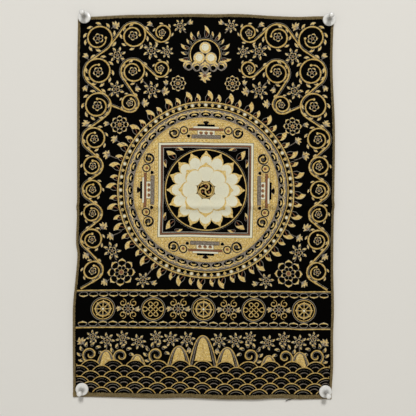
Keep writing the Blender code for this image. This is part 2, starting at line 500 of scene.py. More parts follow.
THREAD_FINISHES: dict[Thread, ThreadFinish] = {
    Thread.BLACK: ThreadFinish("black_satin", (0.0008, 0.0007, 0.0005), (0.0003, 0.0003, 0.0002),
                               (0.0016, 0.0014, 0.001), (0.005, 0.0045, 0.0032), roughness=0.6,
                               specular=0.015, shares=(0.6, 0.6, 0.3), painted_edge_shade=0.0, float_length=3.4),
    Thread.GOLD: ThreadFinish("gold_thread", (0.70, 0.46, 0.095), (0.25, 0.135, 0.02),
                              (0.98, 0.83, 0.42), (0.30, 0.16, 0.035), roughness=0.5, metallic=0.2,
                              shares=(0.35, 0.75, 0.75), painted_edge_shade=0.8),
    Thread.CREAM: ThreadFinish("cream_thread", (0.80, 0.775, 0.58), (0.44, 0.41, 0.28),
                               (0.88, 0.86, 0.69), (0.56, 0.53, 0.39), roughness=0.6, sheen=0.05,
                               shares=(0.3, 0.5, 0.3), painted_edge_shade=0.3),
    Thread.TAUPE: ThreadFinish("taupe_thread", (0.20, 0.16, 0.12), (0.035, 0.028, 0.021),
                               (0.42, 0.355, 0.275), (0.02, 0.016, 0.012), roughness=0.6,
                               shares=(0.5, 0.8, 0.85), painted_edge_shade=0.5, float_length=1.8, slant=0.5),
    Thread.SILVER: ThreadFinish("silver_thread", (0.38, 0.34, 0.275), (0.12, 0.105, 0.08),
                                (0.58, 0.53, 0.44), (0.20, 0.17, 0.13), roughness=0.5, metallic=0.1,
                                shares=(0.3, 0.6, 0.5), painted_edge_shade=0.5),
    Thread.RUST: ThreadFinish("rust_thread", (0.24, 0.085, 0.032), (0.07, 0.02, 0.008),
                              (0.36, 0.17, 0.075), (0.10, 0.04, 0.018), roughness=0.6,
                              shares=(0.4, 0.6, 0.6), painted_edge_shade=0.5),
}
HEM_FINISH = ThreadFinish("hem_thread", (0.26, 0.185, 0.068), (0.085, 0.056, 0.02), (0.37, 0.28, 0.13),
                          (0.13, 0.09, 0.035), roughness=0.7, sheen=0.05, shares=(0.35, 0.7, 0.6),
                          painted_edge_shade=0.0, pitch=0.30, grain_size=3.0)


def plastic_material() -> bpy.types.Material:
    """Make moulded white plastic, faintly uneven, with painted shade in the grip's waist ("depth")."""
    maker = ShaderMaker("push_pin_plastic")
    cloudy = maker.noise(maker.object_coordinates(), 420.0)
    white = maker.mix((0.86, 0.86, 0.84), (0.74, 0.73, 0.69), cloudy)
    return maker.surfaced(maker.principled({
        "Base Color": maker.mix(white, (0.13, 0.122, 0.105), maker.attribute("depth")),
        "Coat Weight": 0.3,
        "Roughness": maker.scaled(cloudy, 0.16, 0.16),
        "Normal": maker.bump(cloudy, 0.00002),
    }))


def steel_material() -> bpy.types.Material:
    """Make drawn steel wire with fine lines along it."""
    maker = ShaderMaker("push_pin_steel")
    lines = maker.noise(maker.object_coordinates((4000.0, 200.0, 4000.0)))
    return maker.surfaced(maker.principled({
        "Base Color": maker.mix((0.62, 0.61, 0.60), (0.42, 0.41, 0.40), lines),
        "Metallic": 1.0,
        "Roughness": maker.scaled(lines, 0.25, 0.2),
    }))


def back_material() -> bpy.types.Material:
    """Make the cloth's back: loose floats of every thread across a dull ground."""
    maker = ShaderMaker("cloth_back")
    floats = maker.noise(maker.object_coordinates((90.0, 1.0, 2100.0)))
    groups = maker.noise(maker.object_coordinates((110.0, 1.0, 420.0)), 1.0, 2.0)
    color = maker.mix((0.012, 0.010, 0.007), (0.34, 0.23, 0.085), maker.scaled(floats, 5.0, -2.0))
    color = maker.mix(color, (0.50, 0.45, 0.32), maker.scaled(groups, 5.0, -2.5), 0.7)
    return maker.surfaced(maker.principled({
        "Base Color": color,
        "Sheen Weight": 0.08,
        "Specular IOR Level": 0.2,
        "Roughness": maker.scaled(floats, 0.2, 0.65),
        "Normal": maker.bump(floats, 0.0002),
    }))


# Drawing in the flat

STEP = 1.8  # mm between the points of a line
STEM_SHARE = 0.88  # the radius of a scroll's stem, as a share of the scroll's with its leaves


def unit(degrees: float) -> complex:
    """The direction at an angle, anticlockwise from the right."""
    return cmath.exp(1j * math.radians(degrees))


def arc(centre: complex, radius: float, start: float, end: float) -> np.ndarray:
    """Points along an arc, by its centre, radius, and first and last angle in degrees."""
    count = max(5, int(abs(math.radians(end - start)) * (radius / STEP + 1.2)) + 2)
    return centre + radius * np.exp(1j * np.radians(np.linspace(start, end, count)))


def spiral(centre: complex, outer: float, inner: float, start: float, turn: float) -> np.ndarray:
    """Points along a spiral, from its outer radius to its inner one.

    Args:
        centre: Its centre.
        outer: Its first radius.
        inner: Its last radius.
        start: The first angle in degrees.
        turn: How far it turns, in degrees; anticlockwise if positive.

    Returns:
        The points.
    """
    count = max(9, int(abs(math.radians(turn)) * (outer + inner) / 2 / STEP) + 6)
    share = np.linspace(0, 1, count)
    radius = outer + (inner - outer) * share
    return centre + radius * np.exp(1j * np.radians(start + turn * share))


def bezier(start: complex, pull_start: complex, pull_end: complex, end: complex) -> np.ndarray:
    """Points along a cubic curve between two ends, with its two handles."""
    rough = abs(pull_start - start) + abs(pull_end - pull_start) + abs(end - pull_end)
    t = np.linspace(0, 1, max(6, int(rough / STEP) + 2))
    return (start * (1 - t) ** 3 + 3 * pull_start * t * (1 - t) ** 2
            + 3 * pull_end * t * t * (1 - t) + end * t ** 3)


def line(*corners: complex) -> np.ndarray:
    """Points along straight runs between corners, closer than one step."""
    runs = []
    for start, end in zip(corners, corners[1:]):
        count = max(2, int(abs(end - start) / STEP) + 1)
        runs.append(start + (end - start) * np.linspace(0, 1, count, endpoint=False))
    return np.concatenate([*runs, [corners[-1]]])


def rectangle(low: complex, high: complex) -> np.ndarray:
    """The outline of a rectangle between two corners, in steps."""
    return line(low, complex(high.real, low.imag), high, complex(low.real, high.imag), low)[:-1]


def beside(points: np.ndarray, distance: float) -> np.ndarray:
    """The line that runs beside another, at a distance to its left."""
    ahead = np.gradient(points)
    return points + 1j * ahead / np.abs(ahead) * distance


@dataclass
class Stroke:
    """A line of thread: its points, half its width at each, its thread, and its level over the ground."""

    points: np.ndarray
    half_widths: np.ndarray
    thread: Thread
    level: float
    closed: bool = False


@dataclass
class Patch:
    """An area of thread: its outline, its thread, and its level over the ground."""

    outline: np.ndarray
    thread: Thread
    level: float


@dataclass
class Design:
    """Strokes and patches of thread, drawn flat in mm, and the ornaments made of them."""

    strokes: list[Stroke] = field(default_factory=list)
    patches: list[Patch] = field(default_factory=list)

    def stroke(self, points: np.ndarray, width: float, thread: Thread = Thread.GOLD, level: float = 4,
               ends: tuple[float, float] = (1.0, 1.0), closed: bool = False) -> None:
        """Draw a line.

        Args:
            points: Its points.
            width: Its width.
            thread: Its thread.
            level: Its level over the ground.
            ends: The share of the width at its two ends.
            closed: Whether it closes on itself.
        """
        share = np.linspace(0, 1, len(points))
        taper = ends[0] + (ends[1] - ends[0]) * share
        if min(ends) < 1:
            taper = taper + (1 - taper) * np.clip(np.sin(np.pi * share), 0, 1) ** 0.5
        if width > 1 and not closed:
            # Two waves of unlike length make a wide line a little uneven, each line in its own way.
            walk = np.arange(len(points)) + points[0].real * 3.7
            taper = taper * (1 + 0.18 * np.sin(walk * 0.83) + 0.12 * np.sin(walk * 2.17))
        self.strokes.append(Stroke(points, taper * width / 2, thread, level, closed))

    def patch(self, outline: np.ndarray, thread: Thread = Thread.GOLD, level: float = 2) -> None:
        """Fill an outline with thread."""
        self.patches.append(Patch(outline, thread, level))

    def ring(self, centre: complex, radius: float, width: float, thread: Thread = Thread.GOLD,
             level: float = 4) -> None:
        """Draw a whole circle."""
        self.stroke(arc(centre, radius, 0, 360)[:-1], width, thread, level, closed=True)

    def disc(self, centre: complex, radius: float, thread: Thread = Thread.GOLD, level: float = 2) -> None:
        """Fill a circle."""
        self.patch(arc(centre, radius, 0, 360)[:-1], thread, level)

    def leaf(self, base: complex, way: complex, length: float, bend: float = 40.0,
             fullness: float = 0.36, level: float = 2, vein: bool = True) -> None:
        """Draw a curling leaf: a fine outline, and gold along its outer side and over its tip.

        Args:
            base: Where it grows from.
            way: The direction in which it reaches, of length 1.
            length: Its length along the curl.
            bend: How far it curls to the left, in degrees.
            fullness: Its width as a share of its length.
            level: Its level over the ground.
            vein: Whether it has a vein.
        """
        gilt_from, gilt_turn = 0.22, 0.52  # where the gold begins, and how soon it covers the leaf
        t = np.linspace(0, 1, max(9, int(length / 1.6) + 5))
        ahead = way * np.exp(1j * math.radians(bend) * (t * 1.5 - 0.6))
        middle = base + np.concatenate([[0], np.cumsum(ahead[:-1])]) * length / (len(t) - 1)
        outward = ahead * 1j * -math.copysign(1, bend)
        half = outward * fullness * length / 2 * np.clip(np.sin(np.pi * t ** 0.72), 0, 1) ** 0.9
        start = int(len(t) * gilt_from)
        ease = np.clip((t - t[start]) / gilt_turn, 0, 1)
        inner = 1 - 2 * ease * ease * (3 - 2 * ease)
        gilt = np.concatenate([(middle + half)[start:], (middle + half * inner)[-2:start:-1]])
        self.patch(gilt, level=level)
        outline = np.concatenate([middle + half, (middle - half)[-2:0:-1]])
        self.stroke(outline, 0.7, Thread.SILVER, level + 1.5, closed=True)
        if vein and length > 5:
            width, thread = (1.1, Thread.RUST) if length > 9.5 else (0.5, Thread.SILVER)
            self.stroke(middle[1:int(len(t) * 0.6)], width, thread, level + 1, (0.5, 0.4))

    def petal(self, base: complex, way: complex, length: float, width: float, cap: float = 0.42,
              body: Thread | None = None, level: float = 2, edge: Thread = Thread.SILVER) -> None:
        """Draw a lotus petal: a dome with a drawn-out point, and a gold crescent over its top.

        Args:
            base: Where it grows from.
            way: The direction in which it grows, of length 1.
            length: Its length.
            width: Its width.
            cap: How deep the gold is, as a share of the dome.
            body: The thread that fills it, if it is filled.
            level: Its level over the ground.
            edge: The thread of its outline.
        """
        waist, point, half = length * 0.52, length * 0.12, width / 2
        theta = np.linspace(0, np.pi, max(13, int(length) + 6) | 1)
        dome = (length - point - waist) * np.sin(theta)
        across = 1j * half * np.cos(theta)
        outer = waist + dome + point * np.exp(-(((theta - np.pi / 2) / 0.20) ** 2)) + across
        inner = waist + dome * (1 - cap) + across * (1 - 0.25 * cap)
        foot = bezier(waist - 1j * half, waist * 0.55 - 1j * half, waist * 0.25 - 0.7j * half, -0.36j * half)
        whole = np.concatenate([outer, foot[1:], np.conj(foot)[:0:-1]])
        if body:
            self.patch(base + way * whole, body, level)
        self.patch(base + way * np.concatenate([outer, inner[-2:0:-1]]), level=level + 1)
        self.stroke(base + way * whole, 0.7, edge, level + 2, closed=True)

    def blossom(self, centre: complex, radius: float, petals: int = 5, turn: float = 90) -> None:
        """Draw an open flower by its middle, radius, number of petals and first petal's angle."""
        for k in range(petals):
            way = unit(turn + 360 * k / petals)
            self.petal(centre + way * radius * 0.22, way, radius * 0.78, radius * 3.6 / petals, 0.6)
        self.ring(centre, radius * 0.24, 0.8)
        self.disc(centre, radius * 0.14, Thread.RUST, 3)

    def fan(self, foot: complex, way: complex, length: float, leaves: int = 5) -> None:
        """Draw a fan of leaves.

        Args:
            foot: Where they grow from.
            way: The direction of the middle one, of length 1.
            length: The length of the middle one.
            leaves: How many there are; an odd number.
        """
        for k in range(leaves):
            turn = 31 * (k - leaves // 2)
            size = length * (1 - 0.0045 * abs(turn))
            self.leaf(foot, way * unit(turn), size, math.copysign(55, turn + 0.1), 0.40)

    def sprout(self, middle: complex, radius: float, root: complex) -> None:
        """Fill a round gap with foliage.

        Args:
            middle: The gap's middle.
            radius: Its radius.
            root: Where the foliage grows from.
        """
        way = (middle - root) / abs(middle - root)
        large = radius > 7.5
        foot = middle - way * radius * (0.45 if large else 0.75)
        stem = bezier(root, root + (foot - root) * unit(15) * 0.4, foot - way * radius * 0.2, foot)
        self.stroke(stem, 1.3 if large else 1.0, Thread.TAUPE, 3, (1.0, 0.7))
        if not large:
            self.fan(foot, way, radius * 1.6, 5 if radius > 5 else 3)
            return
        self.blossom(middle, radius * 0.50, 5, math.degrees(cmath.phase(way)))
        for k in range(7):
            out = way * unit(180 + 360 / 7 * (k + 0.5))
            self.leaf(middle + out * radius * 0.52, out * unit(-22), radius * 0.56, 60, 0.50)

    def peony(self, centre: complex, radius: float, turn: float = 90) -> None:
        """Draw a full blossom: two rings of petals, the outer ones largest.

        Args:
            centre: Its middle.
            radius: Its radius.
            turn: The angle of its first petal.
        """
        for ring, (count, foot, reach) in enumerate(((8, 0.42, 1.0), (8, 0.14, 0.60))):
            for k in range(count):
                way = unit(turn + 360 * (k + ring / 2) / count)
                width = 2 * math.pi * (reach + foot) / 2 / count * radius * 0.92
                self.petal(centre + way * foot * radius, way, (reach - foot) * radius, width, 0.50,
                           Thread.BLACK, 2 + ring * 1.6)
        self.ring(centre, radius * 0.17, 1.0, level=6)
        self.disc(centre, radius * 0.12, Thread.RUST, 6)

    def fill(self, low: complex, high: complex, taken: list[tuple[complex, float]], widest: float = 10.5,
             least: float = 4.3) -> None:
        """Fill the gaps between what is drawn with foliage, the widest gap first.

        Args:
            low: The lower left corner of the field.
            high: Its upper right corner.
            taken: The round spots that are taken, each with its middle and radius.
            widest: The radius of the largest sprout.
            least: The smallest gap that is filled.
        """
        pitch = 1.5
        across, up = np.arange(low.real, high.real, pitch), np.arange(low.imag, high.imag, pitch)
        spots = np.add.outer(across, 1j * up).ravel()
        room = np.minimum.reduce([spots.real - low.real, high.real - spots.real,
                                  spots.imag - low.imag, high.imag - spots.imag])
        taken = list(taken)
        for middle, radius in taken:
            room = np.minimum(room, np.abs(spots - middle) - radius)
        while room.max() > least:
            best = int(np.argmax(room))
            middle, radius = complex(spots[best]), min(float(room[best]), widest)
            near, size = min(taken, key=lambda spot: abs(spot[0] - middle) - spot[1])
            self.sprout(middle, radius, near + (middle - near) / abs(middle - near) * size * 0.92)
            taken.append((middle, radius))
            room = np.minimum(room, np.abs(spots - middle) - radius)

    def scroll(self, centre: complex, radius: float, start: float, turn: float) -> None:
        """Draw a leafy scroll: a gold spiral round a flower.

        Args:
            centre: Its middle.
            radius: Its outer radius, with its leaves.
            start: The angle at which it begins.
            turn: How far it winds; anticlockwise if positive.
        """
        side = math.copysign(1.0, turn)
        stem = spiral(centre, radius * STEM_SHARE, radius * 0.46, start, turn)
        self.stroke(stem, 2.1, ends=(1.0, 0.5))
        self.disc(stem[-1], 1.4, level=4)
        self.blossom(centre, radius * 0.34, 5, start)
        ahead = np.gradient(stem)
        count = max(5, int(radius / 2.0))
        for k in range(count):
            at = int((0.03 + 0.80 * k / count) * len(stem))
            way = ahead[at] / abs(ahead[at])
            self.leaf(stem[at], way * unit(-side * 38), radius * 0.42, side * 62, 0.42)

    def wheel(self, centre: complex, radius: float, spokes: int = 8) -> None:
        """Draw a spoked wheel with a double rim and a hub."""
        self.ring(centre, radius, 2.2)
        self.ring(centre, radius * 0.80, 0.7, Thread.SILVER)
        for k in range(spokes):
            way = unit(360 * k / spokes)
            self.stroke(line(centre + way * radius * 0.28, centre + way * radius * 0.95), 1.3)
            self.disc(centre + way * radius * 1.13, radius * 0.09)
        self.ring(centre, radius * 0.28, 1.3)
        self.disc(centre, radius * 0.16, Thread.CREAM)

    def knot(self, centre: complex, size: float) -> None:
        """Draw an endless knot: three runs each way that pass over and under, joined by loops.

        Args:
            centre: Its middle.
            size: Half its width.
        """
        pitch = size * 0.42
        turn = unit(45)
        reach, gap, width = pitch * 1.62, pitch * 0.24, pitch * 0.32
        for i in (-1, 0, 1):
            for over in (0, 1):
                cuts = [-reach, *(j * pitch for j in (-1, 0, 1) if (i + j) % 2 == over), reach]
                for low, high in zip(cuts, cuts[1:]):
                    low = low if low == -reach else low + gap
                    high = high if high == reach else high - gap
                    run = np.array([low, (low + high) / 2, high]) + 1j * i * pitch
                    run = run.imag + 1j * run.real if over else run
                    self.stroke(centre + run * turn, width)
        for quarter in range(4):
            rise = -0.5 if quarter % 2 else 0.5
            loop = arc(reach + rise * 1j * pitch, pitch / 2, -90, 90)
            self.stroke(centre + loop * 1j ** quarter * turn, width)
        corner = arc(complex(-reach, reach), reach - pitch, 0, 270) * turn
        for half_turn in (1, -1):
            self.stroke(centre + corner * half_turn, width)

    def add(self, other: Design, flip: bool = False) -> None:
        """Add a copy of another design, mirrored left to right if it is flipped."""
        for stroke in other.strokes:
            points = -np.conj(stroke.points) if flip else stroke.points
            self.strokes.append(replace(stroke, points=points))
        for patch in other.patches:
            outline = -np.conj(patch.outline)[::-1] if flip else patch.outline
            self.patches.append(replace(patch, outline=outline))


# Geometry made by node trees


class TreeMaker(NodeMaker):
    """A geometry node tree in the making, which takes a geometry and named inputs."""

    def __init__(self, name: str, inputs: dict[str, str]) -> None:
        """Start a tree of that name with these inputs, each with its socket type."""
        tree = bpy.data.node_groups.new(name, "GeometryNodeTree")
        super().__init__(tree, {"Geometry": "Geometry", **inputs})

    def shape(self, kind: str, links: Links | None = None, **values: object) -> Socket:
        """Add a node, and take its first output."""
        return self.node(kind, links, **values).outputs[0]

    def realize(self, geometry: Socket) -> bpy.types.GeometryNodeTree:
        """End the tree in Realize Instances and, if it has a Material input, Set Material."""
        real = self.shape("GeometryNodeRealizeInstances", {"Geometry": geometry})
        if "Material" in self.source:
            links = {"Geometry": real, "Material": self.source["Material"]}
            real = self.shape("GeometryNodeSetMaterial", links)
        self.finish("Geometry", {"Geometry": real})
        return self.tree


def apply_tree(host: bpy.types.Object, tree: bpy.types.GeometryNodeTree,
               values: dict[str, object]) -> bpy.types.Mesh:
    """Run a node tree on an object, which is removed.

    Args:
        host: The object whose geometry the tree takes.
        tree: The tree.
        values: Its named inputs.

    Returns:
        The plain mesh that comes out.
    """
    bpy.context.scene.collection.objects.link(host)
    modifier = host.modifiers.new(tree.name, "NODES")
    modifier.node_group = tree
    for item in tree.interface.items_tree:
        if item.in_out == "INPUT" and item.name in values:
            modifier[item.identifier] = values[item.name]
    return baked(host)


def poly_curve(name: str, splines: Sequence[tuple[np.ndarray, float, np.ndarray, bool]]) -> bpy.types.Object:
    """Make a curve object of straight-run splines.

    Args:
        name: Its name.
        splines: For each spline its points, its height, its radii and whether it is closed.

    Returns:
        The object, which isn't linked yet.
    """
    data = bpy.data.curves.new(name, "CURVE")
    data.dimensions = "3D"
    data.twist_mode = "Z_UP"
    for points, height, radii, closed in splines:
        spline = data.splines.new("POLY")
        spline.points.add(len(points) - 1)
        ones = np.ones(len(points))
        rows = np.stack([points.real, points.imag, ones * height, ones], axis=1)
        spline.points.foreach_set("co", rows.astype(np.float32).ravel())
        spline.points.foreach_set("radius", radii.astype(np.float32))
        spline.use_cyclic_u = closed
    return bpy.data.objects.new(name, data)


def ribbon_tree() -> bpy.types.GeometryNodeTree:
    """Build the tree that lays a crowned ribbon of thread along each curve, down to the cloth's foot.

    Returns:
        The tree, which also marks how near the ribbon's edge each point is, as "edge".
    """
    maker = TreeMaker("thread_ribbon", {"Profile": "Object", "Foot": "Float", "Material": "Material"})
    section = maker.node("GeometryNodeObjectInfo", {"Object": maker.source["Profile"]}).outputs["Geometry"]
    split = maker.node("ShaderNodeSeparateXYZ", {0: maker.shape("GeometryNodeInputPosition")}).outputs
    nearness = maker.math("ABSOLUTE", split["X"])
    links = {"Geometry": section, "Name": "edge", "Value": nearness}
    swept = maker.shape("GeometryNodeCurveToMesh", {
        "Curve": maker.source["Geometry"],
        "Profile Curve": maker.shape("GeometryNodeStoreNamedAttribute", links),
        "Scale": maker.shape("GeometryNodeInputRadius"),
        "Fill Caps": True,
    })
    mark = maker.node("GeometryNodeInputNamedAttribute", {"Name": "edge"}).outputs["Attribute"]
    low = {"X": split["X"], "Y": split["Y"], "Z": maker.source["Foot"]}
    grounded = maker.shape("GeometryNodeSetPosition", {
        "Geometry": swept,
        "Selection": maker.math("GREATER_THAN", mark, 0.9),
        "Position": maker.shape("ShaderNodeCombineXYZ", low),
    })
    return maker.realize(maker.shape("GeometryNodeSetShadeSmooth", {"Geometry": grounded}))


def ring_tree() -> bpy.types.GeometryNodeTree:
    """Build the tree that repeats a motif in a circle round the origin, every second one a little higher."""
    maker = TreeMaker("motifs_in_a_ring", {"Count": "Int", "Turn": "Float", "Rise": "Float"})
    number = maker.shape("GeometryNodeInputIndex")
    turn = maker.math("MULTIPLY", number, maker.source["Turn"])
    lift = maker.math("MULTIPLY", maker.math("MODULO", number, 2.0), maker.source["Rise"])
    place = {"Count": maker.source["Count"], "Position": maker.shape("ShaderNodeCombineXYZ", {"Z": lift})}
    return maker.realize(maker.shape("GeometryNodeInstanceOnPoints", {
        "Points": maker.shape("GeometryNodePoints", place),
        "Instance": maker.source["Geometry"],
        "Rotation": maker.shape("ShaderNodeCombineXYZ", {"Z": turn}),
    }))


def overcast_tree() -> bpy.types.GeometryNodeTree:
    """Build the tree that sets hem stitches side by side along an edge."""
    maker = TreeMaker("overcast_stitches", {
        "Stitch": "Object", "Pitch": "Float", "Reach": "Float", "Unevenness": "Float", "Seed": "Int",
        "Material": "Material",
    })
    given = maker.source
    least, most = (maker.math(way, 1.0, given["Unevenness"]) for way in ("SUBTRACT", "ADD"))
    uneven = maker.node("FunctionNodeRandomValue", {2: least, 3: most, "Seed": given["Seed"]}).outputs[1]
    tangent = {"Vector": maker.shape("GeometryNodeInputTangent")}
    stitch = maker.node("GeometryNodeObjectInfo", {"Object": given["Stitch"]}).outputs["Geometry"]
    length = {"Curve": given["Geometry"], "Length": given["Pitch"]}
    reach = maker.math("MULTIPLY", uneven, given["Reach"])
    return maker.realize(maker.shape("GeometryNodeInstanceOnPoints", {
        "Points": maker.shape("GeometryNodeResampleCurve", length, mode="LENGTH"),
        "Instance": stitch,
        "Rotation": maker.shape("FunctionNodeAlignRotationToVector", tangent, axis="X", pivot_axis="Z"),
        "Scale": maker.shape("ShaderNodeCombineXYZ", {"X": 1.0, "Y": reach, "Z": 1.0}),
    }))


@dataclass
class Loom:
    """Turns flat designs into raised thread, and lays it on the hanging cloth. Lengths in mm."""

    cloth: HangingCloth
    materials: dict[Thread, bpy.types.Material]
    base: float = 0.08
    rise: float = 0.032
    cell: float = 3.0
    foot: float = -0.12
    fine: float = 0.5
    # The sections of a raised line, wide and fine, for a half width of 1. Their -Y is up on the cloth.
    sections: tuple[tuple[complex, ...], ...] = (
        (-1 + 0.1j, -0.80 - 0.06j, -0.14j, 0.80 - 0.06j, 1 + 0.1j), (-1 + 0.1j, -0.14j, 1 + 0.1j),
    )

    def __post_init__(self) -> None:
        """Build the node trees and the sections of a raised line."""
        self.ribbons = ribbon_tree()
        self.rings = ring_tree()
        self.profiles = []
        for section in self.sections:
            row = (np.array(section), 0.0, np.ones(len(section)), True)
            self.profiles.append(poly_curve("line_section", [row]))
            bpy.context.scene.collection.objects.link(self.profiles[-1])

    def clear(self) -> None:
        """Remove the sections' objects once every line is made."""
        for profile in self.profiles:
            bpy.data.objects.remove(profile, do_unlink=True)

    def height(self, level: float, number: int) -> float:
        """Height of a level, with a hair's difference from one piece of thread to the next."""
        return self.base + self.rise * level + 0.002 * (number % 9)

    def lines_of(self, strokes: Sequence[Stroke], thread: Thread) -> list[bpy.types.Mesh]:
        """The raised lines of one thread, the wide and the fine ones."""
        meshes = []
        for number, profile in enumerate(self.profiles):
            rows = [(s.points, self.height(s.level, k), s.half_widths, s.closed)
                    for k, s in enumerate(strokes) if (s.half_widths.max() < self.fine) == bool(number)]
            if rows:
                meshes.append(apply_tree(poly_curve("strokes", rows), self.ribbons, {
                    "Profile": profile, "Foot": self.foot, "Material": self.materials[thread],
                }))
        return meshes

    def areas_of(self, patches: Sequence[Patch], thread: Thread) -> bpy.types.Mesh:
        """The raised areas of one thread: thin plates, the wide ones cut into cells that follow the folds.

        Args:
            patches: The areas.
            thread: Their thread.

        Returns:
            Their mesh, in the flat.
        """
        mesh = bpy.data.meshes.new("patches")
        for wide in (True, False):
            sheet = bmesh.new()
            layer = sheet.faces.layers.float.new("top")
            for number, patch in enumerate(patches):
                outline = patch.outline
                span = max(np.ptp(outline.real), np.ptp(outline.imag))
                if (span > self.cell * 2) != wide:
                    continue
                face = sheet.faces.new([sheet.verts.new((p.real, p.imag, self.foot)) for p in outline])
                face[layer] = self.height(patch.level, number)
            if wide:
                self.cut_into_cells(sheet)
            made = bmesh.ops.extrude_face_region(sheet, geom=list(sheet.faces))["geom"]
            for face in [item for item in made if isinstance(item, bmesh.types.BMFace)]:
                for vertex in face.verts:
                    vertex.co.z = face[layer]
            sheet.faces.layers.float.remove(layer)
            bmesh.ops.recalc_face_normals(sheet, faces=sheet.faces)
            sheet.from_mesh(mesh)
            sheet.to_mesh(mesh)
            sheet.free()
        mesh.materials.append(self.materials[thread])
        return mesh

    def cut_into_cells(self, sheet: bmesh.types.BMesh) -> None:
        """Cut flat faces along a grid of the loom's cell size."""
        for axis, normal in enumerate(((1, 0, 0), (0, 1, 0))):
            places = [vertex.co[axis] for vertex in sheet.verts]
            if not places:
                return
            at = math.ceil(min(places) / self.cell) * self.cell
            while at < max(places):
                point = (at, 0, 0) if axis == 0 else (0, at, 0)
                geometry = [*sheet.verts, *sheet.edges, *sheet.faces]
                bmesh.ops.bisect_plane(sheet, geom=geometry, plane_co=point, plane_no=normal)
                at += self.cell

    def weave(self, design: Design, count: int = 1) -> bpy.types.Mesh:
        """Make a design's flat mesh.

        Args:
            design: The design.
            count: How often it is repeated in a circle round the origin.

        Returns:
            The mesh, with a material for each thread.
        """
        parts = []
        for thread in Thread:
            strokes = [s for s in design.strokes if s.thread is thread]
            patches = [p for p in design.patches if p.thread is thread]
            parts += self.lines_of(strokes, thread)
            if patches:
                parts.append(self.areas_of(patches, thread))
        mesh = joined("design", parts)
        if count > 1:
            turn = {"Count": count, "Turn": 2 * math.pi / count, "Rise": self.rise}
            mesh = apply_tree(bpy.data.objects.new("motif", mesh), self.rings, turn)
        return mesh

    def lay(self, name: str, meshes: Sequence[bpy.types.Mesh], middle: complex = 0) -> bpy.types.Object:
        """Lay flat meshes on the hanging cloth as one piece.

        Args:
            name: The piece's name.
            meshes: Its flat meshes.
            middle: Where their origin goes.

        Returns:
            The piece, which rides with the cloth.
        """
        mesh = joined(name, meshes)
        self.cloth.hang(mesh, middle)
        return place_piece(name, mesh)


def joined(name: str, meshes: Sequence[bpy.types.Mesh]) -> bpy.types.Mesh:
    """Join meshes, which are removed, into one that keeps their materials and marked edges."""
    whole = bmesh.new()
    slots: list[bpy.types.Material] = []
    for mesh in meshes:
        if "edge" not in mesh.attributes:
            mesh.attributes.new("edge", "FLOAT", "POINT")
        own = [material for material in mesh.materials if material]
        slots += [material for material in own if material not in slots]
        indices = np.zeros(len(mesh.polygons), dtype=np.int32)
        mesh.polygons.foreach_get("material_index", indices)
        table = np.array([slots.index(material) for material in own], dtype=np.int32)
        mesh.polygons.foreach_set("material_index", table[np.minimum(indices, len(own) - 1)])
        whole.from_mesh(mesh)
        bpy.data.meshes.remove(mesh)
    result = bpy.data.meshes.new(name)
    for material in slots:
        result.materials.append(material)
    whole.to_mesh(result)
    whole.free()
    return result


def place_piece(name: str, mesh: bpy.types.Mesh) -> bpy.types.Object:
    """Put a mesh in the scene as a piece of the part.

    Args:
        name: The piece's name.
        mesh: Its mesh, in the part's frame.

    Returns:
        The piece.
    """
    mesh.name = name
    piece = linked(name, mesh)
    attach(piece, BODY)
    LOG.info("%s: %d triangles", name, sum(len(polygon.vertices) - 2 for polygon in mesh.polygons))
    return piece


# The cloth's own pieces


@dataclass
class Ground:
    """The ground of the cloth: black satin in front, loose floats behind. Sizes in mm."""

    cloth: HangingCloth
    cell: float = 3.0

    def build(self, front: bpy.types.Material, back: bpy.types.Material) -> bpy.types.Object:
        """Build the sheet.

        Args:
            front: The material of its front.
            back: The material of its back and its cut edge.

        Returns:
            The piece.
        """
        wide, high = self.cloth.width, self.cloth.height
        sheet = bmesh.new()
        bmesh.ops.create_grid(sheet, x_segments=round(wide / self.cell), y_segments=round(high / self.cell),
                              size=0.5)
        for vertex in sheet.verts:
            vertex.co = Vector((vertex.co.x * wide, (vertex.co.y - 0.5) * high, -self.cloth.thickness))
        made = bmesh.ops.extrude_face_region(sheet, geom=list(sheet.faces))["geom"]
        for vertex in [item for item in made if isinstance(item, bmesh.types.BMVert)]:
            vertex.co.z = 0.0
        bmesh.ops.recalc_face_normals(sheet, faces=sheet.faces)
        for face in sheet.faces:
            face.smooth = True
            face.material_index = 0 if face.normal.z > 0.5 else 1
        mesh = bpy.data.meshes.new("cloth_ground")
        sheet.to_mesh(mesh)
        sheet.free()
        mesh.materials.append(front)
        mesh.materials.append(back)
        self.cloth.hang(mesh)
        return place_piece("cloth_ground", mesh)


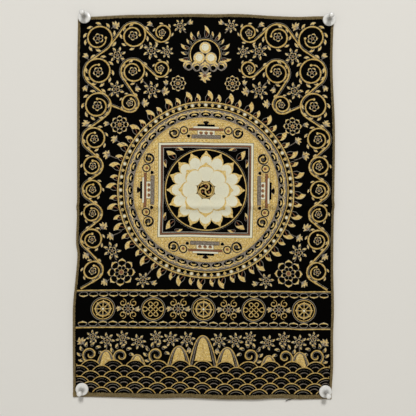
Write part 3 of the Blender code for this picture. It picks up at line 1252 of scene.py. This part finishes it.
@dataclass
class Hem:
    """The overcast hem: thread stitched side by side over the cloth's edge. Sizes in mm."""

    cloth: HangingCloth
    pitch: float = 0.85
    thread: float = 0.40
    unevenness: float = 0.12
    reaches: tuple[tuple[HemSide, float], ...] = (
        (HemSide.BOTTOM, 4.3), (HemSide.RIGHT, 2.4), (HemSide.TOP, 3.0), (HemSide.LEFT, 2.4),
    )
    # One stitch, from the front over the cut edge to the back: along the edge, inward as a share of
    # its reach, and out of the cloth's face.
    path: tuple[tuple[float, float, float], ...] = (
        (-0.30, 1.0, 0.02), (-0.20, 0.6, 0.10), (-0.08, 0.12, 0.12), (0.0, -0.10, -0.2),
        (0.08, -0.04, -0.80), (0.30, 1.0, -0.80),
    )
    # The loose end of thread under the hem, near the right corner.
    loose_end: tuple[complex, ...] = (105.7 - 449.2j, 104.6 - 451.4j, 101.2 - 450.6j, 96.9 - 453.4j)

    def stitch(self) -> bpy.types.Object:
        """Make one stitch, one unit deep: x runs along the edge, y inward, z out of the face."""
        rows = [Vector(point) for point in self.path]
        mesh = bmesh.new()
        rings = []
        for k, point in enumerate(rows):
            ahead = (rows[min(k + 1, len(rows) - 1)] - rows[max(k - 1, 0)]).normalized()
            up = Vector((1, 0, 0)).cross(ahead).normalized()
            angles = [math.pi * (side + 0.5) / 2 for side in range(4)]
            rings.append([mesh.verts.new(point + Vector((math.cos(a) * self.thread, 0, 0))
                                         + up * math.sin(a) * self.thread * 0.45) for a in angles])
        for first, second in zip(rings, rings[1:]):
            for s in range(4):
                t = (s + 1) % 4
                mesh.faces.new((first[s], first[t], second[t], second[s])).smooth = True
        mesh.faces.new(rings[0][::-1])
        mesh.faces.new(rings[-1])
        bmesh.ops.recalc_face_normals(mesh, faces=mesh.faces)
        data = bpy.data.meshes.new("stitch")
        mesh.to_mesh(data)
        mesh.free()
        return bpy.data.objects.new("stitch", data)

    def build(self, loom: Loom, material: bpy.types.Material) -> bpy.types.Object:
        """Build the hem.

        Args:
            loom: The loom that lays it on the cloth.
            material: The hem thread's material.

        Returns:
            The piece.
        """
        tree = overcast_tree()
        stitch = self.stitch()
        bpy.context.scene.collection.objects.link(stitch)
        half, high = self.cloth.width / 2, self.cloth.height
        corners = [complex(-half, -high), complex(half, -high), complex(half, 0), complex(-half, 0)]
        meshes = []
        for side, reach in self.reaches:
            ends = np.array([corners[side.value], corners[(side.value + 1) % 4]])
            edge = poly_curve("edge", [(ends, 0.0, np.ones(2), False)])
            meshes.append(apply_tree(edge, tree, {
                "Stitch": stitch, "Pitch": self.pitch, "Reach": reach, "Unevenness": self.unevenness,
                "Seed": 11 + side.value, "Material": material,
            }))
        bpy.data.objects.remove(stitch, do_unlink=True)
        design = Design()
        design.stroke(bezier(*self.loose_end), 0.9, Thread.BLACK, 0)
        meshes.append(loom.weave(design))
        return loom.lay("hem_overcast", meshes)


# The woven ornament


@dataclass
class Mandala:
    """The round mandala in the middle of the cloth. Radii in mm, from the inside out."""

    middle: complex = -206j
    hub: float = 9.5
    lotus: float = 46.0
    court: float = 60.0
    garden: float = 84.0
    petals: float = 94.5
    beads: float = 103.0
    petal_count: int = 40
    bead_count: int = 40
    flame_count: int = 28

    def hub_design(self) -> Design:
        """One of the three commas in the hub."""
        design = Design()
        comma = np.concatenate([arc(0.4j * self.hub, self.hub * 0.4, -90, 90),
                                arc(0, self.hub * 0.8, 90, 150)[1:]])
        design.stroke(comma, 2.6, ends=(0.3, 0.3))
        design.disc(0.46j * self.hub, 1.1, Thread.RUST, 5)
        return design

    def lotus_petals(self, count: int, low: float, high: float, level: float) -> Design:
        """One cream petal of a ring of the lotus.

        Args:
            count: How many petals the ring has.
            low: The ring's inner radius.
            high: The ring's outer radius.
            level: Its level over the ground.

        Returns:
            The petal's design.
        """
        design = Design()
        length = high - low
        width = 2 * math.pi * (low + length * 0.55) / count * 1.06
        design.petal(1j * low, 1j, length, width, 0.30, Thread.CREAM, level, Thread.GOLD)
        for k in (-2, -1, 0, 1, 2):
            foot = 1j * (low + length * 0.10) + k * width * 0.05
            tip = 1j * (low + length * (0.66 - 0.06 * abs(k))) + k * width * 0.13
            design.stroke(line(foot, tip), 0.45, Thread.TAUPE, level + 1, (0.7, 0.3))
        return design

    def court_side(self) -> Design:
        """One side of the square court, with its gate, its bands and the garden beside it."""
        design = Design()
        edge = self.court
        for inset, width, thread in ((2.2, 4.2, Thread.GOLD), (6.0, 2.4, Thread.CREAM),
                                     (8.4, 1.4, Thread.RUST), (10.2, 0.8, Thread.SILVER)):
            out, into = edge - inset + width / 2, edge - inset - width / 2
            band = line(complex(-out, out), complex(-into, into), complex(into, into), complex(out, out),
                        complex(-out, out))
            design.patch(band[:-1][::-1], thread, 4)
        for k in range(-12, 13):
            at = complex(k * 4.3, edge - 2.2)
            design.stroke(at + np.array([-1.1, 0.9j, 1.1, -0.9j]), 0.5, Thread.BLACK, 6, closed=True)
        # Columns: half width, foot over the court's edge, height, thread.
        for half, up, tall, thread in ((17, 0, 4.6, Thread.TAUPE), (10, 4.6, 5.0, Thread.CREAM),
                                       (20, 9.6, 2.6, Thread.RUST), (15, 12.2, 2.2, Thread.CREAM),
                                       (10, 14.4, 2.4, Thread.BLACK)):
            box = rectangle(complex(-half, edge + up), complex(half, edge + up + tall))
            design.patch(box, thread, 3.4)
            design.stroke(box, 0.8, Thread.BLACK, 5, closed=True)
        for k in (-1, 0, 1):
            design.petal(complex(k * 6, edge + 4.9), 1j, 4.2, 4.4, 0.5, Thread.RUST, 5)
        design.petal(1j * (edge + 16.8), 1j, 6.0, 7.0, 0.6, Thread.BLACK, 3)
        for side in (-1, 1):
            self.boss(design, complex(side * 25.9, edge + 9.6), 4.2)
            at = complex(side * 37, edge + 6.6)
            design.disc(at, 6.4, Thread.BLACK, 3.4)
            design.ring(at, 6.4, 0.8, Thread.SILVER)
            design.scroll(at, 6.0, 90 - side * 60, side * 330)
            design.petal(complex(side * 20.5, edge + 1.0), 1j, 5.5, 4.4, 0.5, Thread.BLACK, 3.4)
        corner = edge - 12.2
        way = unit(45)
        design.leaf(way * (self.lotus + 4.6), way, 14.5, 14, 0.55, 4)
        design.leaf(complex(corner - 1, corner - 12), -1j, 10, -40, level=4)
        design.leaf(complex(corner - 12, corner - 1), -1, 10, 40, level=4)
        return design

    def boss(self, design: Design, at: complex, radius: float) -> None:
        """Draw a round gold boss with a dark eye."""
        design.disc(at, radius * 1.2, Thread.BLACK, 3.4)
        design.ring(at, radius * 1.2, 0.8, Thread.SILVER, 5)
        design.disc(at, radius * 0.86, level=4.2)
        design.disc(at - 0.12j * radius, radius * 0.42, Thread.RUST, 5)
        design.stroke(arc(at, radius * 0.62, 20, 200), 0.6, Thread.BLACK, 5)

    def garden_scales(self) -> Design:
        """The rows of small scales that fill one side of the garden."""
        design = Design()
        pitch = 3.6
        for row in range(1, 8):
            for column in range(-14, 15):
                at = complex((column + row % 2 / 2) * pitch, self.court + row * pitch * 0.86 - 1.5)
                if abs(at) < self.garden - 3.4 and abs(at.real) < at.imag:
                    thread = Thread.RUST if row % 3 else Thread.BLACK
                    design.stroke(arc(at, pitch * 0.42, 20, 330), 0.8, thread, 1.5)
        return design

    def ring_petal(self) -> Design:
        """One petal of the ring round the garden, with the small one that shows beside it."""
        design = Design()
        low, high = self.garden + 1.2, self.petals - 0.6
        width = 2 * math.pi * (low + 4) / self.petal_count
        design.petal(1j * low, 1j, high - low, width * 0.94, 0.5, Thread.BLACK, 1)
        design.petal(1j * (low + 0.4), 1j, (high - low) * 0.56, width * 0.46, 0.8, level=2)
        way = unit(180 / self.petal_count)
        design.petal(1j * (high - 4.8) * way, 1j * way, 4.4, width * 0.34, 0.6, level=1)
        return design

    def ring_bead(self) -> Design:
        """One bead of the dark ring, with the lozenge beside it."""
        design = Design()
        mid = 1j * ((self.petals + 3.0 + self.beads) / 2 - 0.4)
        design.disc(mid, 1.7, Thread.CREAM, 3)
        design.ring(mid, 2.2, 0.9)
        turn = unit(-180 / self.bead_count)
        lozenge = np.array([-2.0, -2.6j, 2.0, 2.6j])
        design.patch((mid + lozenge) * turn, level=3)
        design.stroke((mid + lozenge * 0.42) * turn, 0.6, Thread.BLACK, 5, closed=True)
        return design

    def ring_flame(self) -> Design:
        """A long and a short leaf of the ring of flames."""
        design = Design()
        for number, length in enumerate((15.5, 11.0)):
            way = 1j * unit(-180 / self.flame_count * number)
            design.leaf((self.beads + 0.8) * way, way * unit(-20), length, 66, 0.54)
        return design

    def circles(self) -> Design:
        """The lines between the rings, and the grounds that they stand on."""
        design = Design()
        design.disc(0, self.petals, Thread.TAUPE, 0)
        design.disc(0, self.garden, Thread.GOLD, 1)
        edge = self.court
        design.patch(rectangle(complex(-edge, -edge), complex(edge, edge)), Thread.BLACK, 2)
        # Columns: radius, width, thread.
        for radius, width, thread in (
            (self.hub, 1.3, Thread.GOLD), (self.lotus + 1.2, 1.6, Thread.GOLD),
            (self.lotus + 3.0, 0.6, Thread.SILVER), (self.garden - 1.7, 0.6, Thread.SILVER),
            (self.garden, 2.0, Thread.GOLD), (self.petals, 0.7, Thread.SILVER),
            (self.petals + 1.8, 1.5, Thread.GOLD), (self.beads - 1.8, 0.7, Thread.SILVER),
            (self.beads, 2.0, Thread.GOLD),
        ):
            design.ring(0, radius, width, thread)
        return design

    def build(self, loom: Loom) -> list[bpy.types.Object]:
        """Build the mandala's pieces, each ring repeated from one motif."""
        lotus = [
            loom.weave(self.circles()),
            loom.weave(self.hub_design(), 3),
            loom.weave(self.lotus_petals(8, self.hub + 0.8, self.lotus * 0.70, 10), 8),
            loom.weave(self.lotus_petals(16, self.lotus * 0.40, self.lotus, 4.5), 16),
        ]
        court = [loom.weave(self.court_side(), 4), loom.weave(self.garden_scales(), 4)]
        rings = [loom.weave(self.ring_petal(), self.petal_count),
                 loom.weave(self.ring_bead(), self.bead_count)]
        flames = [loom.weave(self.ring_flame(), self.flame_count)]
        return [
            loom.lay("mandala_lotus", lotus, self.middle),
            loom.lay("mandala_court", court, self.middle),
            loom.lay("mandala_rings", rings, self.middle),
            loom.lay("mandala_flames", flames, self.middle),
        ]


@dataclass(frozen=True)
class Vine:
    """A scrolling vine: its root, the turn of its first scroll, and each scroll's middle and radius."""

    root: complex
    first_turn: int
    scrolls: tuple[tuple[complex, float], ...]

    def draw(self, design: Design) -> list[tuple[complex, float]]:
        """Draw the vine: the stem weaves from scroll to scroll, and each scroll winds in from it.

        Args:
            design: The design that it is drawn on.

        Returns:
            The room it takes up, as round spots with their middle and radius.
        """
        last, last_radius, turn = self.root, 0.0, -self.first_turn
        stem: list[np.ndarray] = []
        entry = 0j
        for number, (middle, size) in enumerate(self.scrolls):
            radius = size * STEM_SHARE
            span = middle - last
            free = math.sqrt(max(abs(span) ** 2 - (radius + last_radius) ** 2, 0.0))
            normal = span / complex(radius + last_radius, turn * free)
            normal /= abs(normal)
            if number:
                stem.append(self.around(last, last_radius, entry, normal, turn))
                self.wind(design, last, last_radius, normal, turn)
            stem.append(line(last + normal * last_radius, middle - normal * radius))
            entry, last, last_radius, turn = -normal, middle, radius, -turn
        self.wind(design, last, last_radius, entry, turn)
        points = np.concatenate(stem)
        keep = np.concatenate([[True], np.abs(np.diff(points)) > 0.5])
        design.stroke(points[keep], 2.1)
        design.stroke(beside(points[keep], 1.9), 0.6, Thread.SILVER)
        rooms = [(middle, size * 1.06) for middle, size in self.scrolls]
        return rooms + [(complex(point), 2.0) for point in points]

    @staticmethod
    def around(middle: complex, radius: float, entry: complex, leave: complex, turn: int) -> np.ndarray:
        """The stem's way round one scroll, between two directions from its middle."""
        start = math.degrees(cmath.phase(entry))
        sweep = math.degrees(cmath.phase(leave / entry)) % 360
        sweep = sweep if turn > 0 else sweep - 360
        return arc(middle, radius, start, start + (sweep if abs(sweep) < 300 else 0.0))

    @staticmethod
    def wind(design: Design, middle: complex, radius: float, leave: complex, turn: int) -> None:
        """Draw the scroll that leaves the stem."""
        design.scroll(middle, radius / STEM_SHARE, math.degrees(cmath.phase(leave)), turn * 400)


@dataclass
class ScrollField:
    """The scrolling vines beside and above the mandala, and the foliage in the gaps between them."""

    low: complex = -147 - 321j
    high: complex = 0 - 4.5j
    # The mandala and the crest, which the foliage keeps clear of: middle and radius.
    kept_clear: tuple[tuple[complex, float], ...] = ((-206j, 118.5), (-47j, 37.0))
    # The large blossoms: middle and radius.
    peonies: tuple[tuple[complex, float], ...] = ((-98 - 303j, 16.5), (-101 - 129j, 11.0), (-32 - 81j, 9.5))
    vines: tuple[Vine, ...] = (
        Vine(-143 - 322j, 1, (
            (-131.5 - 301j, 13.5), (-132 - 264j, 14.5), (-132.5 - 233j, 13), (-132.5 - 205j, 13),
            (-132.5 - 177j, 13.5), (-130.5 - 145j, 15.5), (-127 - 106j, 18), (-126 - 66j, 18.5),
            (-126 - 26j, 19), (-85 - 24j, 17), (-51 - 21j, 13),
        )),
        Vine(-110.6 - 106j, 1, ((-89 - 104j, 12), (-85 - 66j, 16), (-52 - 63j, 12))),
    )

    def build(self, loom: Loom) -> list[bpy.types.Object]:
        """Build the vines and the foliage of both sides."""
        vines, foliage = Design(), Design()
        taken = list(self.kept_clear)
        for vine in self.vines:
            taken += vine.draw(vines)
        for middle, radius in self.peonies:
            vines.peony(middle, radius)
            taken.append((middle, radius * 1.05))
        foliage.fill(self.low, self.high, taken)
        pieces = []
        for name, design in (("scrolls", vines), ("foliage", foliage)):
            mirrored = Design()
            mirrored.add(design, flip=True)
            pieces += [loom.lay(f"{name}_left", [loom.weave(design)]),
                       loom.lay(f"{name}_right", [loom.weave(mirrored)])]
        return pieces


@dataclass
class JewelCrest:
    """The three jewels over the mandala, on a lotus and in a spray of leaves."""

    middle: complex = -47j
    jewel: float = 7.0

    def build(self, loom: Loom) -> bpy.types.Object:
        """Build the crest."""
        design = Design()
        for k in range(3):
            at = unit(90 + 120 * k) * self.jewel * 1.15
            design.disc(at, self.jewel * 0.95, level=2)
            design.disc(at + 0.6j, self.jewel * 0.60, Thread.CREAM, 3)
            design.ring(at, self.jewel * 0.95, 0.9, Thread.SILVER, 5)
            design.stroke(arc(at + 0.6j, self.jewel * 0.36, 30, 250), 0.8, Thread.RUST, 5, (0.4, 0.4))
        start, sweep, leaves = -28, 236, 15
        for radius, width, thread in ((17.6, 1.6, Thread.GOLD), (19.4, 0.6, Thread.SILVER)):
            design.stroke(arc(0, radius, start, start + sweep), width, thread)
        for k in range(leaves):
            angle = start + sweep * k / (leaves - 1)
            length = 15 if k == leaves // 2 else 12 if k % 2 else 9
            design.leaf(unit(angle) * 20.2, unit(angle), length, -50 if angle > 90 else 50)
        for k in range(-2, 3):
            foot, way = complex(k * 8.6, -21 + 1.5 * abs(k)), unit(90 - 15 * k)
            design.petal(foot, way, 13, 10.5, 0.5, Thread.TAUPE, 6 - abs(k))
            design.petal(foot + way, way, 8, 6.4, 0.5, Thread.BLACK, 8 - abs(k))
        design.fan(-21.5j, -1j, 13, 7)
        return loom.lay("jewel_crest", [loom.weave(design)], self.middle)


@dataclass
class RoundelBand:
    """The band of roundels under the mandala, between two petalled borders. Sizes in mm."""

    middle: complex = -346j
    half_width: float = 147.0
    half_height: float = 18.6
    roundel: float = 13.8
    spacing: float = 58.0

    def build(self, loom: Loom) -> bpy.types.Object:
        """Build the band."""
        design = Design()
        for side in (-1, 1):
            for k in range(-12, 13):
                design.petal(complex(k * 11.6, side * (self.half_height + 1.6)), -1j * side, 6.2, 10, 0.5)
            for out, width, thread in ((2.0, 0.6, Thread.SILVER), (3.4, 1.6, Thread.GOLD)):
                edge = 1j * side * (self.half_height + out)
                design.stroke(line(edge - self.half_width, edge + self.half_width), width, thread)
        for k in range(-2, 3):
            at = complex(k * self.spacing, 0)
            design.disc(at, self.roundel, Thread.BLACK, 1)
            design.ring(at, self.roundel, 0.9, Thread.SILVER)
            design.ring(at, self.roundel - 1.7, 1.2)
            if k % 2:
                design.knot(at, self.roundel * 0.72)
            else:
                design.wheel(at, self.roundel * 0.62)
        for k in range(-2, 2):
            at = complex((k + 0.5) * self.spacing, 0)
            design.blossom(at, 7.5, 8)
            for side in (-1, 1):
                design.fan(at + side * 7.5, side, 7.5, 3)
                for up in (-1, 1):
                    curl = spiral(at + complex(side * 6.4, up * 7.2), 4.6, 1.2, 90 * up, side * up * 430)
                    design.stroke(curl, 1.2, ends=(0.5, 0.4))
        return loom.lay("roundel_band", [loom.weave(design)], self.middle)


@dataclass
class WaveBand:
    """Waves along the foot of the cloth, each hidden in part by those in front, and the peaks and
    breakers that rise out of them. Sizes in mm."""

    radius: float = 13.0
    low: float = -445.0
    rows: int = 5
    top: float = -371.0
    half_width: float = 147.0
    breakers: tuple[complex, ...] = (54 - 400j, 95 - 402j, 130.5 - 400j)
    # Columns: middle of the foot, half width and height of each peak, from back to front.
    peaks: tuple[tuple[complex, float, float], ...] = (
        (28 - 422j, 17, 32), (0 - 422j, 20, 45), (112 - 422j, 15, 27), (76 - 422j, 13, 22),
    )

    def build(self, loom: Loom) -> bpy.types.Object:
        """Build the peaks, the breakers, the foliage over them and the waves."""
        design, half = Design(), Design()
        crests = self.low + (self.rows - 0.5) * self.radius / 2 + self.radius
        taken = [(complex(x, crests - 26), 26.0) for x in range(0, 160, 13)]
        for number, (foot, wide, tall) in enumerate(self.peaks):
            self.peak(half if foot.real else design, foot, wide, tall, number * 0.6)
            taken += [(foot + 1j * tall * share, wide * (1.1 - share)) for share in (0.3, 0.5, 0.7, 0.95)]
        for middle in self.breakers:
            self.breaker(half, middle)
            taken.append((middle, 13.5))
        half.fill(complex(0, crests - 12), complex(self.half_width, self.top), taken, 9.0, 4.2)
        design.add(half)
        design.add(half, flip=True)
        for row in range(-1, self.rows):
            shift = self.radius if row % 2 else 0.0
            for column in range(-7, 8):
                middle = complex(column * 2 * self.radius + shift, self.low + row * self.radius / 2)
                self.wave(design, middle)
                if row >= self.rows - 2 and abs(middle.real) < self.half_width - self.radius:
                    design.disc(middle, self.radius * 0.96, Thread.BLACK, 8)
        return loom.lay("wave_band", [loom.weave(design)])

    def peak(self, design: Design, foot: complex, half: float, tall: float, level: float) -> None:
        """Draw a rounded peak with a pale top.

        Args:
            design: The design that it is drawn on.
            foot: The middle of its foot.
            half: Half its width.
            tall: Its height.
            level: Its level over the ground.
        """
        for share, width, thread in ((0.97, 1.5, Thread.GOLD), (0.84, 0.6, Thread.SILVER),
                                     (0.71, 1.6, Thread.TAUPE), (0.52, 0.0, Thread.GOLD)):
            wide, low, top = half * share, tall * (1 - share) * 0.7, 1j * tall * (0.90 + 0.10 * share)
            side = bezier(wide + 1j * low, wide * 0.8 + 1j * low, wide * 0.66 + top, top)
            outline = foot + np.concatenate([side, (-np.conj(side))[-2::-1]])
            if share > 0.9:
                design.patch(outline, Thread.BLACK, level)
            if width:
                design.stroke(outline, width, thread, level + 1)
            else:
                design.patch(outline, thread, level + 1.4)
                for k in (-1, 0, 1):
                    root = wide * 0.45 * k + 1j * low
                    rib = bezier(root, root, top * 0.6, top * 0.8)
                    design.stroke(foot + rib, 0.7, Thread.RUST, level + 1.8)

    def breaker(self, design: Design, middle: complex) -> None:
        """Draw a breaking wave: a curl with drops of foam round it."""
        curl = spiral(middle, 10, 1.8, -100, 480)
        design.stroke(curl, 2.1, level=1, ends=(1.0, 0.4))
        design.stroke(beside(curl, 1.8)[2:-3], 0.6, Thread.SILVER, 1)
        for k in range(7):
            way = unit(-35 + 34 * k)
            design.leaf(middle + way * 9.6, way * unit(25), 6.6, 60, 0.5, level=1)

    def wave(self, design: Design, middle: complex) -> None:
        """Draw what shows of one wave.

        Args:
            design: The design that it is drawn on.
            middle: The wave's middle.
        """
        front = [middle + complex(side, -0.5) * self.radius for side in (-1, 1)]
        for share, width, thread in ((0.96, 1.5, Thread.GOLD), (0.74, 0.6, Thread.SILVER),
                                     (0.48, 1.1, Thread.TAUPE)):
            points = arc(middle, self.radius * share, 5, 175)
            seen = (np.abs(points.real) < self.half_width) & (points.imag > self.low)
            for hider in front:
                seen &= np.abs(points - hider) > self.radius
            for run in np.split(np.arange(len(points)), np.flatnonzero(np.diff(seen.astype(int))) + 1):
                if seen[run[0]] and len(run) > 1:
                    design.stroke(points[run], width, thread, 9.5, (0.7, 0.7))


# The push pins


@dataclass
class PushPin:
    """A push pin: a moulded grip with its flange, and its needle. Sizes in mm and degrees."""

    name: str
    foot: complex
    lean_right: float
    lean_up: float
    flange_radius: float = 7.5
    flange_lift: float = 0.25
    clearance: float = 0.3
    hem_thickness: float = 1.5
    needle_radius: float = 0.6
    needle_reach: float = 9.0
    needle_tip: float = 2.4
    socket_depth: float = 7.0
    steps: int = 56
    # How dark the painted shade in the grip's waist gets, and the waist's radius and height.
    painted_waist_shade: float = 0.6
    waist_radius: float = 1.6
    waist_height: float = 6.0
    # Columns: radius, height above the flange's back.
    profile: tuple[tuple[float, float], ...] = (
        (0.0, 15.0), (0.9, 14.97), (1.7, 14.8), (2.35, 14.47), (2.75, 14.1), (3.02, 13.6), (3.1, 13.0),
        (3.07, 12.4), (2.95, 11.7), (2.6, 10.6), (2.2, 9.4), (1.88, 8.3), (1.7, 7.4), (1.66, 6.6),
        (1.75, 5.8), (2.02, 4.7), (2.5, 3.8), (3.2, 3.1), (4.1, 2.6), (5.1, 2.3), (6.2, 2.1), (6.8, 1.95),
        (7.2, 1.7), (7.42, 1.4), (7.5, 1.0), (7.4, 0.6), (7.2, 0.35), (6.85, 0.1), (6.4, 0.0), (5.6, 0.12),
        (4.0, 0.3), (0.9, 0.35), (0.9, 7.0), (0.0, 7.0),
    )

    def frame(self, cloth: HangingCloth) -> tuple[Vector, Quaternion]:
        """Where the pin stands.

        Args:
            cloth: The cloth that it holds.

        Returns:
            The middle of the flange's back in metres, and the turn of the grip's axis.
        """
        way = Vector((math.tan(math.radians(self.lean_right)), -1.0, math.tan(math.radians(self.lean_up))))
        tilt = self.flange_radius * math.hypot(way.x, way.z)
        front = float(cloth.stand_off(np.array([self.foot]))[0]) + self.hem_thickness
        depth = -front - self.flange_lift - self.clearance - tilt
        return Vector((self.foot.real, depth, self.foot.imag)) * MM, way.to_track_quat("Z", "Y")

    def turned(self, name: str, rows: Sequence[tuple[float, float]], cloth: HangingCloth) -> bpy.types.Mesh:
        """Turn a mesh on the pin's axis.

        Args:
            name: Its name.
            rows: Its profile, down the outer side, as radius and height in mm.
            cloth: The cloth that the pin holds.

        Returns:
            The mesh, in place.
        """
        mesh = bpy.data.meshes.new(name)
        runs = [(i, i + 1) for i in range(len(rows) - 1)]
        mesh.from_pydata([(r * MM, 0, h * MM) for r, h in rows], runs, [])
        host = linked(name, mesh)
        screw = host.modifiers.new("turn", "SCREW")
        screw.steps = self.steps
        screw.render_steps = self.steps
        screw.use_merge_vertices = True
        screw.merge_threshold = 0.00001
        result = baked(host)
        place = points_of(result) / MM
        # Painted shade: points near the waist get a darkening, stored as "depth" for the plastic's colour.
        across = np.hypot(place[:, 0], place[:, 1]) - self.waist_radius
        along = np.abs(place[:, 2] - self.waist_height)
        depth = self.painted_waist_shade * np.clip(1.2 - across / 3, 0, 1) * np.clip(1.6 - along / 4, 0, 1)
        result.attributes.new("depth", "FLOAT", "POINT").data.foreach_set("value", depth.astype(np.float32))
        location, turn = self.frame(cloth)
        matrix = turn.to_matrix().to_4x4()
        matrix.translation = location
        result.transform(matrix)
        result.shade_smooth()
        result.set_sharp_from_angle(angle=math.radians(50))
        return result

    def build(self, cloth: HangingCloth, plastic: bpy.types.Material,
              steel: bpy.types.Material) -> list[bpy.types.Object]:
        """Build the pin's two pieces.

        Args:
            cloth: The cloth that it holds.
            plastic: The grip's material.
            steel: The needle's material.

        Returns:
            The pieces.
        """
        point = -self.needle_reach + self.frame(cloth)[0].y / MM
        seat, radius = self.socket_depth - self.clearance, self.needle_radius
        needle_rows = [(0.0, seat), (radius, seat), (radius, point + self.needle_tip),
                       (radius * 0.72, point + self.needle_tip * 0.55),
                       (radius * 0.35, point + self.needle_tip * 0.2), (0.05, point), (0.0, point)]
        pieces = []
        for part, rows, material, slot in (("grip", self.profile, plastic, "white_plastic"),
                                           ("needle", needle_rows, steel, "needle_steel")):
            name = f"push_pin_{part}_{self.name}"
            mesh = self.turned(name, rows, cloth)
            mesh.materials.append(material)
            piece = place_piece(name, mesh)
            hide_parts(f"{part}_{self.name}")
            pieces.append(piece)
        return pieces


# The studio


@dataclass
class Studio:
    """Camera, lights, floor and backdrop. Sizes in metres, angles in degrees."""

    # How far in front the camera stands, and the place that it faces: across and up.
    distance: float = 0.5285
    aim: tuple[float, float] = (0.0027, -0.2273)
    view_angle: float = 49.7
    floor_level: float = -0.60
    backdrop_gap: float = 0.0006
    paint: RGB = (0.80, 0.785, 0.745)
    world: RGB = (1.0, 0.99, 0.97)
    world_strength: float = 0.24
    # Columns: name, place, side, power in watts and colour of each lamp.
    lamps: tuple[tuple[str, tuple[float, float, float], float, float, RGB], ...] = (
        ("key", (0.4, -3.2, 2.2), 0.55, 96.0, (1.0, 0.99, 0.97)),
        ("fill", (-1.6, -1.6, -0.8), 1.4, 6.0, (0.97, 0.985, 1.0)),
    )

    def camera(self) -> None:
        """Place the camera square to the cloth."""
        data = bpy.data.cameras.new("camera")
        data.sensor_width = 36.0
        data.lens = data.sensor_width / 2 / math.tan(math.radians(self.view_angle) / 2)
        data.clip_start = 0.01
        camera = linked("camera", data)
        camera.location = (self.aim[0], -self.distance, self.aim[1])
        camera.rotation_euler = (math.radians(90), 0, 0)
        bpy.context.scene.camera = camera

    def lamp(self, name: str, place: Sequence[float], size: float, power: float, color: RGB) -> None:
        """Add a soft square lamp that points at the middle of the cloth.

        Args:
            name: Its name.
            place: Where it stands.
            size: Its side.
            power: Its power in watts.
            color: Its colour.
        """
        data = bpy.data.lights.new(name, "AREA")
        data.size = size
        data.energy = power
        data.color = color
        lamp = linked(name, data)
        lamp.location = place
        lamp.rotation_mode = "QUATERNION"
        lamp.rotation_quaternion = (Vector((0, 0, self.aim[1])) - Vector(place)).to_track_quat("-Z", "Y")

    def plane(self, name: str, size: float, material: bpy.types.Material) -> bpy.types.Object:
        """A flat square that isn't part of the object."""
        mesh = bpy.data.meshes.new(name)
        sheet = bmesh.new()
        bmesh.ops.create_grid(sheet, x_segments=1, y_segments=1, size=size / 2)
        sheet.to_mesh(mesh)
        sheet.free()
        mesh.materials.append(material)
        plane = linked(name, mesh)
        return plane

    def floor_paint(self) -> bpy.types.Material:
        """Pale paint for the floor."""
        maker = ShaderMaker("pale_floor")
        return maker.surfaced(maker.principled({"Base Color": (*self.paint, 1), "Roughness": 0.85}))

    def backdrop_paint(self) -> bpy.types.Material:
        """Pale paint that only shows from the front, and lets light pass to the cloth's back."""
        maker = ShaderMaker("pale_backdrop")
        opaque = maker.principled({"Base Color": (*self.paint, 1), "Roughness": 0.9})
        seen = maker.node("ShaderNodeLightPath").outputs["Is Camera Ray"]
        behind = maker.node("ShaderNodeNewGeometry").outputs["Backfacing"]
        clear = maker.node("ShaderNodeBsdfTransparent").outputs["BSDF"]
        links = {"Fac": maker.math("SUBTRACT", seen, behind, clamp=True), 1: clear, 2: opaque}
        return maker.surfaced(maker.node("ShaderNodeMixShader", links).outputs["Shader"])

    def build(self) -> None:
        """Build the studio."""
        floor = self.plane("floor", 8.0, self.floor_paint())
        floor.location = (0, 0, self.floor_level)
        backdrop = self.plane("backdrop", 3.0, self.backdrop_paint())
        backdrop.location = (0, self.backdrop_gap, self.floor_level + 1.5)
        backdrop.rotation_euler = (math.radians(90), 0, 0)
        for lamp in self.lamps:
            self.lamp(*lamp)
        world = bpy.data.worlds.new("studio")
        world.use_nodes = True
        light = world.node_tree.nodes["Background"].inputs
        light["Color"].default_value = (*self.world, 1)
        light["Strength"].default_value = self.world_strength
        bpy.context.scene.world = world
        bpy.context.scene.view_settings.view_transform = "Standard"


# Columns: the pin's name, how far its grip leans right and up, in degrees.
PIN_LEANS: tuple[tuple[str, float, float], ...] = (
    ("top_left", 2.0, 2.5), ("top_right", -3.0, 3.5),
    ("bottom_left", 1.5, -2.0), ("bottom_right", 2.5, -2.5),
)


def pin_feet(record: dict) -> dict[str, complex]:
    """Where each pin enters the cloth, from the record's mounts, in mm."""
    return {mount["name"].removeprefix("needle_"): complex(mount["pos_m"][0], mount["pos_m"][2]) / MM
            for mount in record["mounts"] if mount["name"].startswith("needle_")}


def main() -> None:
    """Build every piece around the frame."""
    logging.basicConfig(level=logging.INFO, format="%(name)s %(message)s")
    for item in list(bpy.data.objects):
        bpy.data.objects.remove(item, do_unlink=True)
    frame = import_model()
    studio = Studio()
    studio.camera()

    feet = pin_feet(frame["record"])
    cloth = HangingCloth(pins=tuple(feet.values()))
    weave = woven_threads()
    materials = {thread: finish.material(weave) for thread, finish in THREAD_FINISHES.items()}
    loom = Loom(cloth, materials)

    ground = Ground(cloth).build(materials[Thread.BLACK], back_material())
    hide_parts("panel")
    woven = [Hem(cloth).build(loom, HEM_FINISH.material(weave))]
    woven += Mandala().build(loom)
    woven += ScrollField().build(loom)
    woven += [JewelCrest().build(loom), RoundelBand().build(loom), WaveBand().build(loom)]
    loom.clear()

    plastic, steel = plastic_material(), steel_material()
    pins = []
    for name, lean_right, lean_up in PIN_LEANS:
        pins += PushPin(name, feet[name], lean_right, lean_up).build(cloth, plastic, steel)

    studio.build()


if __name__ == "__main__":
    main()
